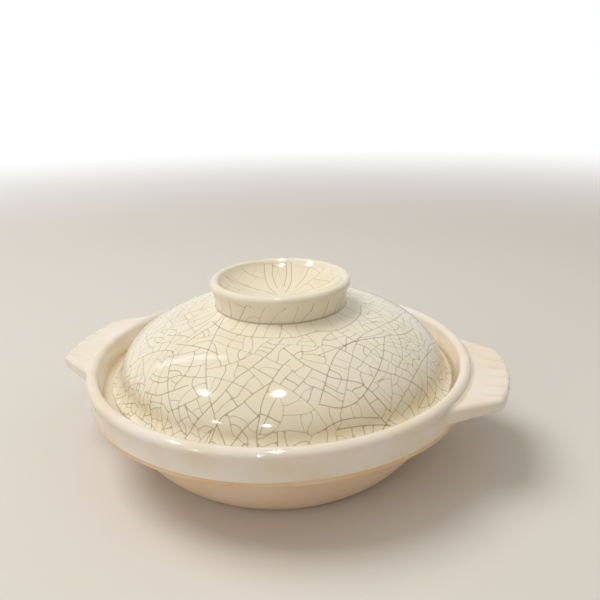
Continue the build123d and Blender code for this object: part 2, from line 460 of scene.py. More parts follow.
def noise(tree, where, scale, detail=2.0, roughness=0.5):
    """Soft noise, in turns per metre."""
    sockets = {"Vector": where, "Scale": scale, "Detail": detail, "Roughness": roughness}
    return put(tree, "ShaderNodeTexNoise", sockets).outputs["Fac"]


def shade(red, green, blue):
    """A colour as it is read off a picture, made linear for the shader."""
    linear = [(part / 255 + 0.055) / 1.055 for part in (red, green, blue)]
    return (*[part**2.4 for part in linear], 1.0)


# %% Glaze pooling: how a glaze settles, with shade painted into hollows
glaze_pool_and_shade = new_tree(
    "Glaze pool",
    {
        "Thin": ("NodeSocketColor", shade(240, 234, 220)),
        "Thick": ("NodeSocketColor", shade(232, 222, 196)),
        "Pool and shade": ("NodeSocketFloat", 0.0),
    },
    {"Color": "NodeSocketColor", "Height": "NodeSocketFloat", "Roughness": "NodeSocketFloat"},
)
inside = put(glaze_pool_and_shade, "NodeGroupInput").outputs
place = put(glaze_pool_and_shade, "ShaderNodeTexCoord").outputs["Object"]
cloud_scale, mottle_scale, ripple_scale, pin_scale = 22, 90, 60, 900
cloud_span, cloud_share = (0.35, 0.7), 0.45
mottle_span, mottle_share = (0.4, 0.7), 0.2
pin_span, pin_depth = (0.74, 0.8), 0.1
gloss_span, gloss_range = (0.3, 0.75), (0.04, 0.09)
cloud = noise(glaze_pool_and_shade, place, cloud_scale, detail=3)
mottle = noise(glaze_pool_and_shade, place, mottle_scale, detail=4)
# Where the pooling input is high the glaze takes its thick colour: pooled glaze, and painted shade in
# hollows.
share = combine(glaze_pool_and_shade, "ADD", between(glaze_pool_and_shade, cloud, *cloud_span, 0, cloud_share), inside["Pool and shade"])
share = combine(glaze_pool_and_shade, "ADD", share, between(glaze_pool_and_shade, mottle, *mottle_span, 0, mottle_share))
share = combine(glaze_pool_and_shade, "MINIMUM", share, 1.0)
outside = put(glaze_pool_and_shade, "NodeGroupOutput").inputs
glaze_pool_and_shade.links.new(blend(glaze_pool_and_shade, share, inside["Thin"], inside["Thick"]), outside["Color"])
ripple = noise(glaze_pool_and_shade, place, ripple_scale, detail=1)
pins = between(glaze_pool_and_shade, noise(glaze_pool_and_shade, place, pin_scale, detail=0), *pin_span, 0, -pin_depth)
glaze_pool_and_shade.links.new(combine(glaze_pool_and_shade, "ADD", ripple, pins), outside["Height"])
gloss = between(glaze_pool_and_shade, mottle, *gloss_span, *gloss_range)
glaze_pool_and_shade.links.new(gloss, outside["Roughness"])

# %% Bare clay: grain, rings of the wheel and iron specks
bare_clay = new_tree(
    "Bare clay",
    {
        "Clay": ("NodeSocketColor", shade(224, 197, 166)),
        "Flashed": ("NodeSocketColor", shade(222, 188, 138)),
        "Flash": ("NodeSocketFloat", 0.0),
    },
    {"Color": "NodeSocketColor", "Height": "NodeSocketFloat"},
)
inside = put(bare_clay, "NodeGroupInput").outputs
place = put(bare_clay, "ShaderNodeTexCoord").outputs["Object"]
grain_scale, patch_scale, ring_scale = 1400, 45, 900
ring_waver = 1.5 * MM
pale_span, pale_share, pale_clay = (0.35, 0.7), 0.35, shade(236, 219, 194)
speck_span, speck_share, iron_speck = (0.66, 0.74), 0.35, shade(178, 144, 108)
grain = noise(bare_clay, place, grain_scale, detail=3, roughness=0.7)
patches = noise(bare_clay, place, patch_scale, detail=4)
upright = put(bare_clay, "ShaderNodeSeparateXYZ", {0: place}).outputs["Z"]
lifted = combine(bare_clay, "ADD", upright, combine(bare_clay, "MULTIPLY", patches, ring_waver))
rings_at = put(bare_clay, "ShaderNodeCombineXYZ", {"Z": lifted}).outputs[0]
rings = noise(bare_clay, rings_at, ring_scale, detail=2)
clay_color = blend(bare_clay, inside["Flash"], inside["Clay"], inside["Flashed"])
pale = between(bare_clay, patches, *pale_span, 0.0, pale_share)
clay_color = blend(bare_clay, pale, clay_color, pale_clay)
specks = between(bare_clay, grain, *speck_span, 0.0, speck_share)
clay_color = blend(bare_clay, specks, clay_color, iron_speck)
outside = put(bare_clay, "NodeGroupOutput").inputs
bare_clay.links.new(clay_color, outside["Color"])
bare_clay.links.new(combine(bare_clay, "ADD", grain, rings), outside["Height"])


# %% [markdown]
# ## The two glazed finishes
# One function builds both. The glaze is a smooth, slightly glassy coat over a pale body, and where the
# value "bare" says so, it gives way to dry clay. The lid's glaze has a net of cracks, which tea and broth
# have stained: the value "crack" is highest in the middle of each crack, and a soft threshold draws it.
# %% Glazed materials
crack_span, crack_darkness = (0.1, 0.9), 0.9
clay_roughness = 0.85
glaze_index = 1.45
ripple_strength, ripple_depth = 0.25, 0.1
grain_strength, grain_depth = 0.5, 0.12


def glazed(name, thin, thick, stain=None):
    """A glaze over clay, read from the values bare, pool_and_shade (pooled glaze and painted shade), flash
    and, where it is crackled, crack.
    """
    material = bpy.data.materials.new(name)
    material.use_nodes = True
    tree = material.node_tree
    shader = tree.nodes["Principled BSDF"]
    values = {
        value: put(tree, "ShaderNodeAttribute", attribute_name=value).outputs["Fac"]
        for value in ("bare", "pool_and_shade", "flash", "crack")
    }
    glaze = put(tree, "ShaderNodeGroup", node_tree=glaze_pool_and_shade)
    glaze.inputs["Thin"].default_value = thin
    glaze.inputs["Thick"].default_value = thick
    tree.links.new(values["pool_and_shade"], glaze.inputs["Pool and shade"])
    clay = put(tree, "ShaderNodeGroup", node_tree=bare_clay)
    tree.links.new(values["flash"], clay.inputs["Flash"])

    color = glaze.outputs["Color"]
    if stain:
        crack = between(tree, values["crack"], *crack_span, 0.0, crack_darkness)
        color = blend(tree, crack, color, stain)
    tree.links.new(blend(tree, values["bare"], color, clay.outputs["Color"]), shader.inputs["Base Color"])

    rough = put(tree, "ShaderNodeMix", {0: values["bare"], 3: clay_roughness}, data_type="FLOAT")
    tree.links.new(glaze.outputs["Roughness"], rough.inputs[2])
    tree.links.new(rough.outputs[0], shader.inputs["Roughness"])
    shader.inputs["IOR"].default_value = glaze_index

    ripple = put(tree, "ShaderNodeBump", {"Height": glaze.outputs["Height"]})
    ripple.inputs["Strength"].default_value = ripple_strength
    ripple.inputs["Distance"].default_value = ripple_depth * MM
    grain = put(tree, "ShaderNodeBump", {"Height": clay.outputs["Height"]})
    grain.inputs["Strength"].default_value = grain_strength
    grain.inputs["Distance"].default_value = grain_depth * MM
    normal = put(tree, "ShaderNodeMix", {0: values["bare"]}, data_type="VECTOR")
    tree.links.new(ripple.outputs[0], normal.inputs[4])
    tree.links.new(grain.outputs[0], normal.inputs[5])
    tree.links.new(normal.outputs[1], shader.inputs["Normal"])
    return material


white_glaze = glazed("White glaze", shade(239, 231, 220), shade(230, 212, 180))
crackle_glaze = glazed("Crackle glaze", shade(237, 230, 210), shade(230, 217, 184), shade(146, 132, 102))

# %% [markdown]
# ## The bowl
# The profile is swept round in rings. The glaze stops above the band's lower edge, in a line that the
# dipping left slightly wavy, and the clay below lies a little deeper. The rings are packed close there,
# so that this step is in the mesh and not only in the material.
# %% Bowl mesh
around = 288
glaze_line_height = 35.7
glaze_line_waver = 0.3
glaze_thickness = 0.2
glaze_edge = 0.5
flash_width = 3.6
pool_and_shade_depth = 5.0
corner_pool_and_shade = 0.6
bowl_ring_gap, bowl_ring_turn = 2.4, 7
rings_each_side, rings_per_edge = 8, 4
line_seed, line_wave_numbers = 21, range(2, 15)

turn_angles = np.linspace(0, 2 * math.pi, around, endpoint=False)
path_lengths = lengths_along(bowl_path)
lip_length = path_lengths[np.argmax(bowl_path[:, 1])]
on_band = (path_lengths < lip_length) & (bowl_path[:, 0] > rim_radius - 2 * lip_radius)
line_length = np.interp(glaze_line_height, bowl_path[on_band, 1], path_lengths[on_band])
close_steps = np.arange(-rings_each_side, rings_each_side + 1)
close_rings = line_length + close_steps * glaze_edge / rings_per_edge
ring_lengths = np.union1d(stations(bowl_path, bowl_ring_gap, bowl_ring_turn), close_rings)

line_random = np.random.default_rng(line_seed)
line_waves = sum(
    line_random.normal() * np.sin(number * turn_angles + line_random.uniform(0, 2 * math.pi)) / number
    for number in line_wave_numbers
)
line_heights = glaze_line_height + glaze_line_waver * line_waves / np.abs(line_waves).max()

bowl = Maker()
rows = []
for ring_length in ring_lengths:
    (radius, height), heading = (part[0] for part in read_along(bowl_path, [ring_length]))
    outward = np.stack(
        [math.sin(heading) * np.cos(turn_angles), math.sin(heading) * np.sin(turn_angles),
         np.full(around, -math.cos(heading))], axis=1)
    points = np.stack(
        [radius * np.cos(turn_angles), radius * np.sin(turn_angles), np.full(around, height)], axis=1)
    if ring_length < lip_length:
        above = ring_length - line_length - (line_heights - glaze_line_height)
        glazed_share = ease(above / glaze_edge + 0.5)
        flash = np.exp(-((np.minimum(above, 0) / flash_width) ** 2))
    else:
        glazed_share = np.ones(around)
        flash = np.zeros(around)
    # The gallery's corner takes the thick glaze colour: pooled glaze, and painted shade where the corner lies
    # in shadow.
    in_corner = math.hypot(radius - gallery_radius, height - seat_height)
    pool_and_shade = corner_pool_and_shade * max(0.0, 1 - in_corner / pool_and_shade_depth) * (ring_length > lip_length)
    sunk, _ = sink(points, outward, pot_waves)
    sunk -= outward * ((1 - glazed_share) * glaze_thickness)[:, None]
    if radius == 0:
        rows.append(bowl.add(sunk[:1], bare=1 - glazed_share[:1]))
    else:
        rows.append(bowl.add(sunk, bare=1 - glazed_share, flash=flash, pool_and_shade=pool_and_shade))
for row, after in zip(rows, rows[1:]):
    if len(row) == 1:
        bowl.fan(row[0], after[::-1])
    elif len(after) == 1:
        bowl.fan(after[0], row)
    else:
        bowl.strip(row, after)
pot_bowl = bowl.finish("Pot_bowl", white_glaze)
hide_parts("pot_bowl")
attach(pot_bowl, "pot")

# %% [markdown]
# ## The ears
# Each ear is a pressed slab, fan-shaped from above and thinner towards its end, with six grooves. They
# deepen on their way out, grow fainter again before the rounded end, and glaze pools in them; that darker
# colour also paints the shade that falls in the grooves. The slab is cut up in plan: rows beside its outline
# for the rounded edge, rows beside each groove, and loose points between. That plan is lifted to a top and
# a bottom. Where an ear meets the band, its surface swells as if a ball had been rolled along the corner,
# because glaze and slip fill it there, and the same darker colour paints shade into that corner.
# %% Sizes of the ears
_, ear_high = node_box("ear_right")
ear_end = ear_high[0]
ear_top = ear_high[2]
ear_bulge = 4.1
ear_root_width = 83.0
ear_tip_width = 54.0
ear_root_thickness = 8.6
ear_tip_thickness = 6.2
ear_corner_round = 6.0
ear_edge_round = 2.3
ear_sunk = 2.0
joint_round = 2.2
joint_end_share = 0.88
groove_count = 6
groove_depth = 0.8
groove_spread = 1.0
groove_end_share = 0.45
groove_pool_and_shade = 0.65
joint_pool_and_shade = 0.35
groove_start = 4.3
groove_fan_share = 1.16
groove_rise_share = 0.7
groove_fade_share = 0.75
end_rib = 5.0
flattest_meeting = 0.99
ear_wall_rows = 4
ear_wave_sizes = {"depth": 0.25, "shortest": 18, "longest": 60}
ear_sides = {"ear_right": (1, 5), "ear_left": (-1, 6)}

ear_root = math.sqrt(rim_radius**2 - (ear_root_width / 2) ** 2)
ear_corner = ear_end - ear_bulge
ear_back = ear_root - ear_root_thickness
side_slope = (ear_root_width - ear_tip_width) / 2 / (ear_corner - ear_root)
back_half_width = ear_root_width / 2 + side_slope * (ear_root - ear_back)
groove_pitch = (ear_tip_width - 2 * end_rib) / (groove_count - 1)
inner_edge = rim_radius - ear_sunk

tip_arc = ((ear_tip_width / 2) ** 2 + ear_bulge**2) / (2 * ear_bulge)
tip_centre = (ear_end - tip_arc, 0)
tip_angle = math.degrees(math.asin(ear_tip_width / 2 / tip_arc))
tip_run = arc(tip_centre, tip_arc, -tip_angle, tip_angle)
ear_outline = chain(
    line((ear_back, -back_half_width), tip_run[0]),
    ear_corner_round,
    tip_run,
    ear_corner_round,
    line(tip_run[-1], (ear_back, back_half_width)),
)


# %% Measuring the ear's plan
weld_distance = 1e-4


def nearest_on(path, points):
    """Distance of points to the left of a path, and the path's outward direction there."""
    starts, steps = path[:-1], np.diff(path, axis=0)
    gaps = points[:, None] - starts[None]
    shares = np.clip(np.sum(gaps * steps, axis=2) / np.sum(steps * steps, axis=1), 0, 1)
    gaps -= shares[..., None] * steps
    distances = np.hypot(gaps[..., 0], gaps[..., 1])
    nearest = distances.argmin(axis=1)
    distance = distances[np.arange(len(points)), nearest]
    gap = gaps[np.arange(len(points)), nearest]
    side = np.sign(cross(steps[nearest], gap))
    headings = np.interp(
        nearest + shares[np.arange(len(points)), nearest], np.arange(len(path)), headings_along(path))
    return distance * side, np.stack([np.sin(headings), -np.cos(headings)], axis=1)


def outside_circle(path, radius):
    """The part of a path that lies outside a circle about the pot's axis, cut exactly."""
    far = np.hypot(*path.T) - radius
    inside = np.flatnonzero(far > 0)
    first, last = inside[0], inside[-1]
    kept = [path[first] + (path[first - 1] - path[first]) * far[first] / (far[first] - far[first - 1])]
    kept.extend(path[first : last + 1])
    kept.append(path[last] + (path[last + 1] - path[last]) * far[last] / (far[last] - far[last + 1]))
    kept[0] = kept[0] * radius / math.hypot(*kept[0])
    kept[-1] = kept[-1] * radius / math.hypot(*kept[-1])
    return np.array(kept)


def cut_up(rows, loose):
    """Triangles over flat points. The edges along each row of points are kept."""
    points, edges = [], []
    for row in rows:
        first = len(points)
        points.extend(row)
        edges.extend((first + place, first + place + 1) for place in range(len(row) - 1))
    points.extend(loose)
    flat = [Vector((float(x), float(y))) for x, y in points]
    made, _, faces, *_ = delaunay_2d_cdt(flat, edges, [], 0, weld_distance, False)
    return np.array([tuple(point) for point in made]), np.array(faces)


# %% The ear's plan
edge_rows = 8
outline_gap, outline_turn = 1.1, 8
joint_gaps = (-0.7, -0.45, -0.2, 0, 0.25, 0.5, 0.8, 1.2, 1.6, joint_round)
root_count = 60
row_gap = 0.9
groove_asides = (-1.9, -1.3, -0.9, -0.5, 0, 0.5, 0.9, 1.3, 1.9)
grid_gap = 1.6
grid_clear, grid_lead = 2.6, 1
row_clear, root_clear, joint_clear = 0.3, 0.4, 1.1

edge_angles = np.linspace(0, math.pi / 2, edge_rows + 1)
edge_offsets = ear_edge_round * (1 - np.cos(edge_angles))
outline_points, _ = read_along(ear_outline, stations(ear_outline, outline_gap, outline_turn))
ear_rows = [outside_circle(beside(outline_points, offset), inner_edge) for offset in edge_offsets]
for gap in joint_gaps:
    reach = rim_radius + gap
    half_angle = math.degrees(math.asin(ear_root_width / 2 / reach))
    swing = arc((0, 0), reach, -half_angle, half_angle)
    swing = swing[nearest_on(ear_outline, swing)[0] > 0]
    ear_rows.append(swing)
root_ends = [math.degrees(math.atan2(row[end][1], row[end][0])) for row in ear_rows[: edge_rows + 1]
             for end in (0, -1)]
root_angles = np.union1d(root_ends, np.linspace(min(root_ends), max(root_ends), root_count))
root_turns = np.radians(root_angles)
ear_rows.append(inner_edge * np.stack([np.cos(root_turns), np.sin(root_turns)], 1))

groove_lines = []
for number in range(groove_count):
    place = number - (groove_count - 1) / 2
    start_side = place * groove_pitch * groove_fan_share
    start = (math.sqrt((rim_radius + groove_start) ** 2 - start_side**2), start_side)
    groove_lines.append((np.array(start), np.array((ear_end, place * groove_pitch))))

loose = []
for start, end in groove_lines:
    length = math.dist(start, end)
    travel = (end - start) / length
    for step in np.arange(-row_gap, length, row_gap):
        for aside in groove_asides:
            loose.append(start + travel * step + np.array([-travel[1], travel[0]]) * aside)
for x in np.arange(inner_edge, ear_end, grid_gap):
    for y in np.arange(-ear_root_width / 2, ear_root_width / 2, grid_gap):
        spot = np.array([x, y])
        if all(abs(cross(end - start, spot - start)) / math.dist(start, end) > grid_clear
               or x < start[0] - grid_lead for start, end in groove_lines):
            loose.append(spot)
loose = np.array(loose)
loose_reach = np.hypot(*loose.T)
clear = nearest_on(ear_outline, loose)[0] > ear_edge_round + row_clear
clear &= (loose_reach > rim_radius + joint_round + row_clear) | (
    (loose_reach > inner_edge + root_clear) & (loose_reach < rim_radius - joint_clear))
plan, plan_faces = cut_up(ear_rows, loose[clear])
centroids = plan[plan_faces].mean(axis=1)
kept = (nearest_on(ear_outline, centroids)[0] > 0) & (np.hypot(*centroids.T) > inner_edge)
plan_faces = plan_faces[kept]
used, plan_faces = np.unique(plan_faces, return_inverse=True)
plan = plan[used]
plan_faces = plan_faces.reshape(-1, 3)
print("ear plan:", len(plan), "points")

# %% Ear surfaces
band_profile = bowl_path[on_band]


def groove_at(points):
    """How deep the grooves are at points of the ear."""
    depth = np.zeros(len(points))
    wall_top = ear_top - ear_edge_round
    wall_low = ear_top - ear_tip_thickness + ear_edge_round / 2
    on_wall = ease((points[:, 2] - wall_low) / (wall_top - wall_low))
    for start, end in groove_lines:
        length = math.dist(start, end)
        travel = (end - start) / length
        gaps = points[:, :2] - start
        along = np.clip(gaps @ travel / length, 0, 1)
        fade = ease((along - groove_fade_share) / (1 - groove_fade_share))
        shares = along**groove_rise_share * (1 - (1 - groove_end_share) * fade)
        depth = np.maximum(depth, shares * np.exp(-np.abs(cross(travel, gaps)) / groove_spread))
    return groove_depth * depth * on_wall


def shape_ear(points, normals):
    """Presses the grooves in, and swells the ear as a ball rolled along its corner with the band would."""
    balls = points + joint_round * normals
    reach = np.hypot(balls[:, 0], balls[:, 1])
    inward, way = nearest_on(band_profile, np.column_stack([reach, balls[:, 2]]))
    outward = np.sum(normals[:, :2] * balls[:, :2], axis=1) / reach
    meeting = way[:, 0] * outward + way[:, 1] * normals[:, 2]
    turn = np.sqrt(1 - np.clip(meeting, -flattest_meeting, flattest_meeting) ** 2)
    near = np.clip((joint_round + inward) / turn, 0, joint_end_share * joint_round * turn)
    swell = joint_round - np.sqrt(joint_round**2 - near**2)
    grooves = groove_at(points)
    # Pooled glaze and painted shade: the thick colour in the grooves and along the joint with the band.
    pool_and_shade = groove_pool_and_shade * grooves / groove_depth + joint_pool_and_shade * near / joint_round
    return points + normals * (swell - grooves)[:, None], pool_and_shade


def make_ear(name, side, seed):
    """Lifts the plan to a closed slab. The left ear is the right one's mirror image."""
    distance, outward = nearest_on(ear_outline, plan)
    inset = np.clip(ear_edge_round - distance, 0, ear_edge_round)
    drop = ear_edge_round - np.sqrt(ear_edge_round**2 - inset**2)
    lean = (inset / ear_edge_round)[:, None] * outward
    level = np.sqrt(np.maximum(0, 1 - np.sum(lean * lean, axis=1)))
    taper = (ear_root_thickness - ear_tip_thickness) / (ear_end - ear_root)
    bottom = ear_top - ear_root_thickness + taper * (plan[:, 0] - ear_root)
    waves = make_waves(seed, **ear_wave_sizes)
    ear = Maker()

    def add(heights, normals):
        points, pool_and_shade = shape_ear(np.column_stack([plan, heights]), normals)
        return sink(points, normals, waves)[0] * (side, 1, 1), pool_and_shade

    top = add(ear_top - drop, np.column_stack([lean, level]))
    low = add(bottom + drop, np.column_stack([lean, -level]))
    edges = np.sort(np.concatenate([plan_faces[:, [0, 1]], plan_faces[:, [1, 2]], plan_faces[:, [2, 0]]]), 1)
    borders, times = np.unique(edges, axis=0, return_counts=True)
    rim = set(map(tuple, borders[times == 1]))
    layers = [top]
    for row in range(1, ear_wall_rows):
        share = row / ear_wall_rows
        heights = (1 - share) * (ear_top - drop) + share * (bottom + drop)
        layers.append(add(heights, np.column_stack([outward, np.zeros(len(plan))])))
    layers.append(low)
    numbers = []
    border_points = np.unique(np.array(list(rim)))
    for layer, (points, pool_and_shade) in enumerate(layers):
        if layer in (0, ear_wall_rows):
            numbers.append(ear.add(points, pool_and_shade=pool_and_shade))
        else:
            at = np.full(len(plan), -1)
            at[border_points] = ear.add(points[border_points], pool_and_shade=pool_and_shade[border_points])
            numbers.append(at)
    for corners in plan_faces:
        a, b, c = corners
        turn = cross(plan[b] - plan[a], plan[c] - plan[a]) * side
        ordered = (a, b, c) if turn > 0 else (a, c, b)
        ear.faces.append([numbers[0][corner] for corner in ordered])
        ear.faces.append([numbers[-1][corner] for corner in ordered[::-1]])
        for here, after in zip(ordered, ordered[1:] + ordered[:1]):
            if tuple(sorted((here, after))) in rim:
                for upper, lower in zip(numbers, numbers[1:]):
                    ear.faces.append((upper[after], upper[here], lower[here], lower[after]))
    return ear.finish(name, white_glaze)


for node, (side, seed) in ear_sides.items():
    ear_piece = make_ear(node.capitalize(), side, seed)
    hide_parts(node)
    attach(ear_piece, "pot")

# %% [markdown]
# ## The lid's profiles
# The dome's side is part of an ellipse, and its crown is an arc that comes level under the knob. A narrow
# brim stands out at its foot. The inside follows at the thickness of the wall. The knob is a ring foot
# whose wall leans out to a rolled lip, with a shallow dish inside it.
# %% Sizes of the lid
dome_low, dome_high = node_box("lid_dome")
knob_low, knob_high = node_box("lid_knob")
lid_shift = (dome_low[0] + dome_high[0]) / 2
brim_radius = (dome_high[0] - dome_low[0]) / 2
lid_base = dome_low[2]
collar_top = dome_high[2]
knob_top = knob_high[2]
knob_lip_radius = (knob_high[0] - knob_low[0]) / 2

brim_width = 4.8
brim_edge_height = 2.0
brim_edge_round = 0.9
seat_corner_share = 0.999
flare_rise = 5.6
dome_foot_rise = 3.3
lid_wall = 5.5
dome_rise = 32.9
shoulder_radius = 60.0
steam_hole_radius = 3.8
steam_hole_round = 0.8
steam_hole_distance = 52.0
collar_width = 6.5
collar_round = 10.0
collar_sunk = 0.1
collar_overrun_share = 1.5
knob_lip_reach = 2.4
knob_lip_round = 2.4
knob_lip_under_angle = 20.0
knob_flute = 0.35
knob_lip_over_angle = 60.0
knob_dish_depth = 10.6

knob_foot_radius = knob_lip_radius - knob_lip_reach
dome_radius = brim_radius - brim_width
brim_edge_top = lid_base + brim_edge_height
dome_base = brim_edge_top + dome_foot_rise
skirt_inner = dome_radius - lid_wall
inner_rise = dome_rise - lid_wall
shoulder_angle = math.degrees(math.acos(shoulder_radius / dome_radius))
flare_angle = math.degrees(math.asin((flare_rise - dome_foot_rise) / dome_rise))


# %% The lid's outlines
def dome_runs(radius, rise, foot_angle):
    """The crown's arc from the knob outwards, and the elliptical side down to the dome's foot."""
    side_run = arc((0, dome_base), (radius, rise), shoulder_angle, foot_angle)
    start = side_run[0]
    turn = math.radians(shoulder_angle)
    tilt = math.atan2(rise * math.cos(turn), radius * math.sin(turn))
    crown_arc = (start[0] - knob_foot_radius) / math.sin(tilt)
    centre = (knob_foot_radius, start[1] - crown_arc * math.cos(tilt))
    crown_run = arc(centre, crown_arc, 90, 90 - math.degrees(tilt))
    return np.vstack([crown_run, side_run[1:]]), centre[1] + crown_arc


def go_on(run, end):
    """A run that leaves another's end in its direction and bends in one arc to a point."""
    travel = run[-1] - run[-2]
    travel /= math.hypot(*travel)
    aside = np.array([-travel[1], travel[0]])
    gap = np.array(end) - run[-1]
    radius = gap @ gap / (2 * gap @ aside)
    centre = run[-1] + radius * aside
    start = math.degrees(math.atan2(*(run[-1] - centre)[::-1]))
    sweep = 2 * math.degrees(math.atan2(gap @ aside, gap @ travel))
    return arc(centre, abs(radius), start, start + sweep)


outer_run, crown_line = dome_runs(dome_radius, dome_rise, flare_angle)
inner_run, inner_crown = dome_runs(skirt_inner, inner_rise, 0)
seat_outer = brim_radius - brim_edge_round
seat_inner = skirt_inner + brim_edge_round
collar_start = np.array((knob_foot_radius, collar_top - collar_sunk))
collar_way = np.array((collar_width, crown_line - collar_top))
outer_path = chain(
    line(collar_start, collar_start + collar_overrun_share * collar_way),
    collar_round,
    outer_run,
    0,
    go_on(outer_run, (brim_radius, brim_edge_top)),
    brim_edge_round,
    line((brim_radius, brim_edge_top), (brim_radius, lid_base)),
    brim_edge_round * seat_corner_share,
    line((brim_radius, lid_base), (seat_outer - brim_edge_round, lid_base)),
)
inner_path = chain(
    line((0, inner_crown), (knob_foot_radius, inner_crown)),
    0,
    inner_run,
    0,
    line((skirt_inner, dome_base), (skirt_inner, lid_base)),
    brim_edge_round,
    line((skirt_inner, lid_base), (seat_inner + brim_edge_round, lid_base)),
)
knob_lip_centre = (knob_foot_radius + knob_lip_reach - knob_lip_round, knob_top - knob_lip_round)
lip_arc = arc(knob_lip_centre, knob_lip_round, 90 + knob_lip_over_angle, -knob_lip_under_angle)
dish_floor = knob_top - knob_dish_depth
dish_fall = lip_arc[0][1] - dish_floor
fall_share = dish_fall / lip_arc[0][0] / math.tan(math.radians(knob_lip_over_angle))
start_share = fall_share / (1 - fall_share)
dish_radius = lip_arc[0][0] / math.sqrt(1 - start_share**2)
dish_sink = dish_fall / (1 - start_share)
dish_end_angle = -math.degrees(math.asin(start_share))
dish_run = arc((0, dish_floor + dish_sink), (dish_radius, dish_sink), -90, dish_end_angle)
wall_low, wall_high = np.array((knob_foot_radius, collar_top)), lip_arc[-1]
wall_chord = math.dist(wall_low, wall_high)
wall_arc = (wall_chord**2 / 4 + knob_flute**2) / (2 * knob_flute)
chord_way = (wall_high - wall_low) / wall_chord
wall_centre = (wall_low + wall_high) / 2 + np.array([chord_way[1], -chord_way[0]]) * (wall_arc - knob_flute)
wall_ends = [math.degrees(math.atan2(*(end - wall_centre)[::-1])) % 360 for end in (wall_high, wall_low)]
knob_path = np.vstack([
    dish_run,
    lip_arc[1:],
    arc(wall_centre, wall_arc, *wall_ends)[1:],
])
print("lid profiles:", [round(lengths_along(path)[-1]) for path in (outer_path, inner_path, knob_path)], "mm")

# %% [markdown]
# ## A flat chart of a turned surface
# Cracks are easiest to grow on a flat sheet. A turned surface can be rolled out flat so that every angle
# is kept: each ring of radius r goes to a ring of radius g, where g grows as ds / r does along the profile.
# A round spot stays round on the chart and only its size changes, by r / g.
# %% Charts
chart_step = 0.05
flat_middle = 1.0


class Chart:
    """A turned surface, the flat disc that stands for it, and the way between them."""

    def __init__(self, path, side, shift):
        count = math.ceil(lengths_along(path)[-1] / chart_step)
        self.lengths = np.linspace(0, lengths_along(path)[-1], count)
        points, self.headings = read_along(path, self.lengths)
        self.radii, self.heights = points.T
        self.side, self.shift = side, shift
        growth = np.diff(self.lengths) / ((self.radii[1:] + self.radii[:-1]) / 2)
        growth = np.concatenate([[0], np.cumsum(growth)])
        self.has_axis = self.radii[0] < chart_step
        if self.has_axis:
            first = np.searchsorted(self.lengths, flat_middle)
            self.flat = self.lengths[first] * np.exp(growth - growth[first])
            self.flat[:first] = self.lengths[:first]
        else:
            self.flat = self.radii[0] * np.exp(growth)

    def flatten(self, lengths, angles):
        """Chart points from distances along the profile and angles about the axis."""
        reach = np.interp(lengths, self.lengths, self.flat)
        return np.stack([reach * np.cos(angles), reach * np.sin(angles)], axis=-1)

    def radius(self, points):
        """The real distance from the axis, at chart points."""
        return np.interp(np.hypot(points[..., 0], points[..., 1]), self.flat, self.radii)

    def scale(self, points):
        """Millimetres on the surface for each unit of the chart."""
        reach = np.maximum(np.hypot(points[..., 0], points[..., 1]), self.lengths[1])
        return np.maximum(np.interp(reach, self.flat, self.radii), self.lengths[1]) / reach

    def lay(self, points):
        """Places and normals on the real surface, from chart points."""
        reach = np.hypot(points[:, 0], points[:, 1])
        ways = points / np.maximum(reach, chart_step / 2)[:, None]
        radii = np.interp(reach, self.flat, self.radii)
        heights = np.interp(reach, self.flat, self.heights)
        headings = np.interp(reach, self.flat, self.headings)
        out, up = -np.sin(headings) * self.side, np.cos(headings) * self.side
        places = np.column_stack([ways * radii[:, None], heights])
        places[:, 0] += self.shift
        normals = np.column_stack([ways * out[:, None], up])
        return places, normals / np.linalg.norm(normals, axis=1)[:, None]


outer_chart = Chart(outer_path, side=1, shift=lid_shift)
inner_chart = Chart(inner_path, side=-1, shift=lid_shift)
knob_chart = Chart(knob_path, side=1, shift=lid_shift)
print("chart radii:", [round(chart.flat[-1], 1) for chart in (outer_chart, inner_chart, knob_chart)])

# %% [markdown]
# ## How a glaze cracks
# The glaze shrinks more than the clay, so it cracks while it cools. The first cracks are long and curved.
# Each later one splits a patch that is still too large, and it ends where it meets an older crack, nearly
# at a right angle. The same rule is followed here: the spot furthest from any crack, for the size of patch
# wanted there, gets the next crack, which grows both ways from that spot until it meets another.
# %% Crack net
crack_step = 1.0
landing_reach = 3.0
landing_turn = 0.28
overshoot = 0.04
edge_gap = 0.15
landing_cone = 1.1
crack_wander = 0.03
crack_bend = 1 / 28
longest_crack = 60
first_turn = 0.3
crossing_chance = 0.12
patch_spread_shares = (0.5, 1.5)
calm_share = 1.7
same_spot = 1e-6
spline_steps = 12


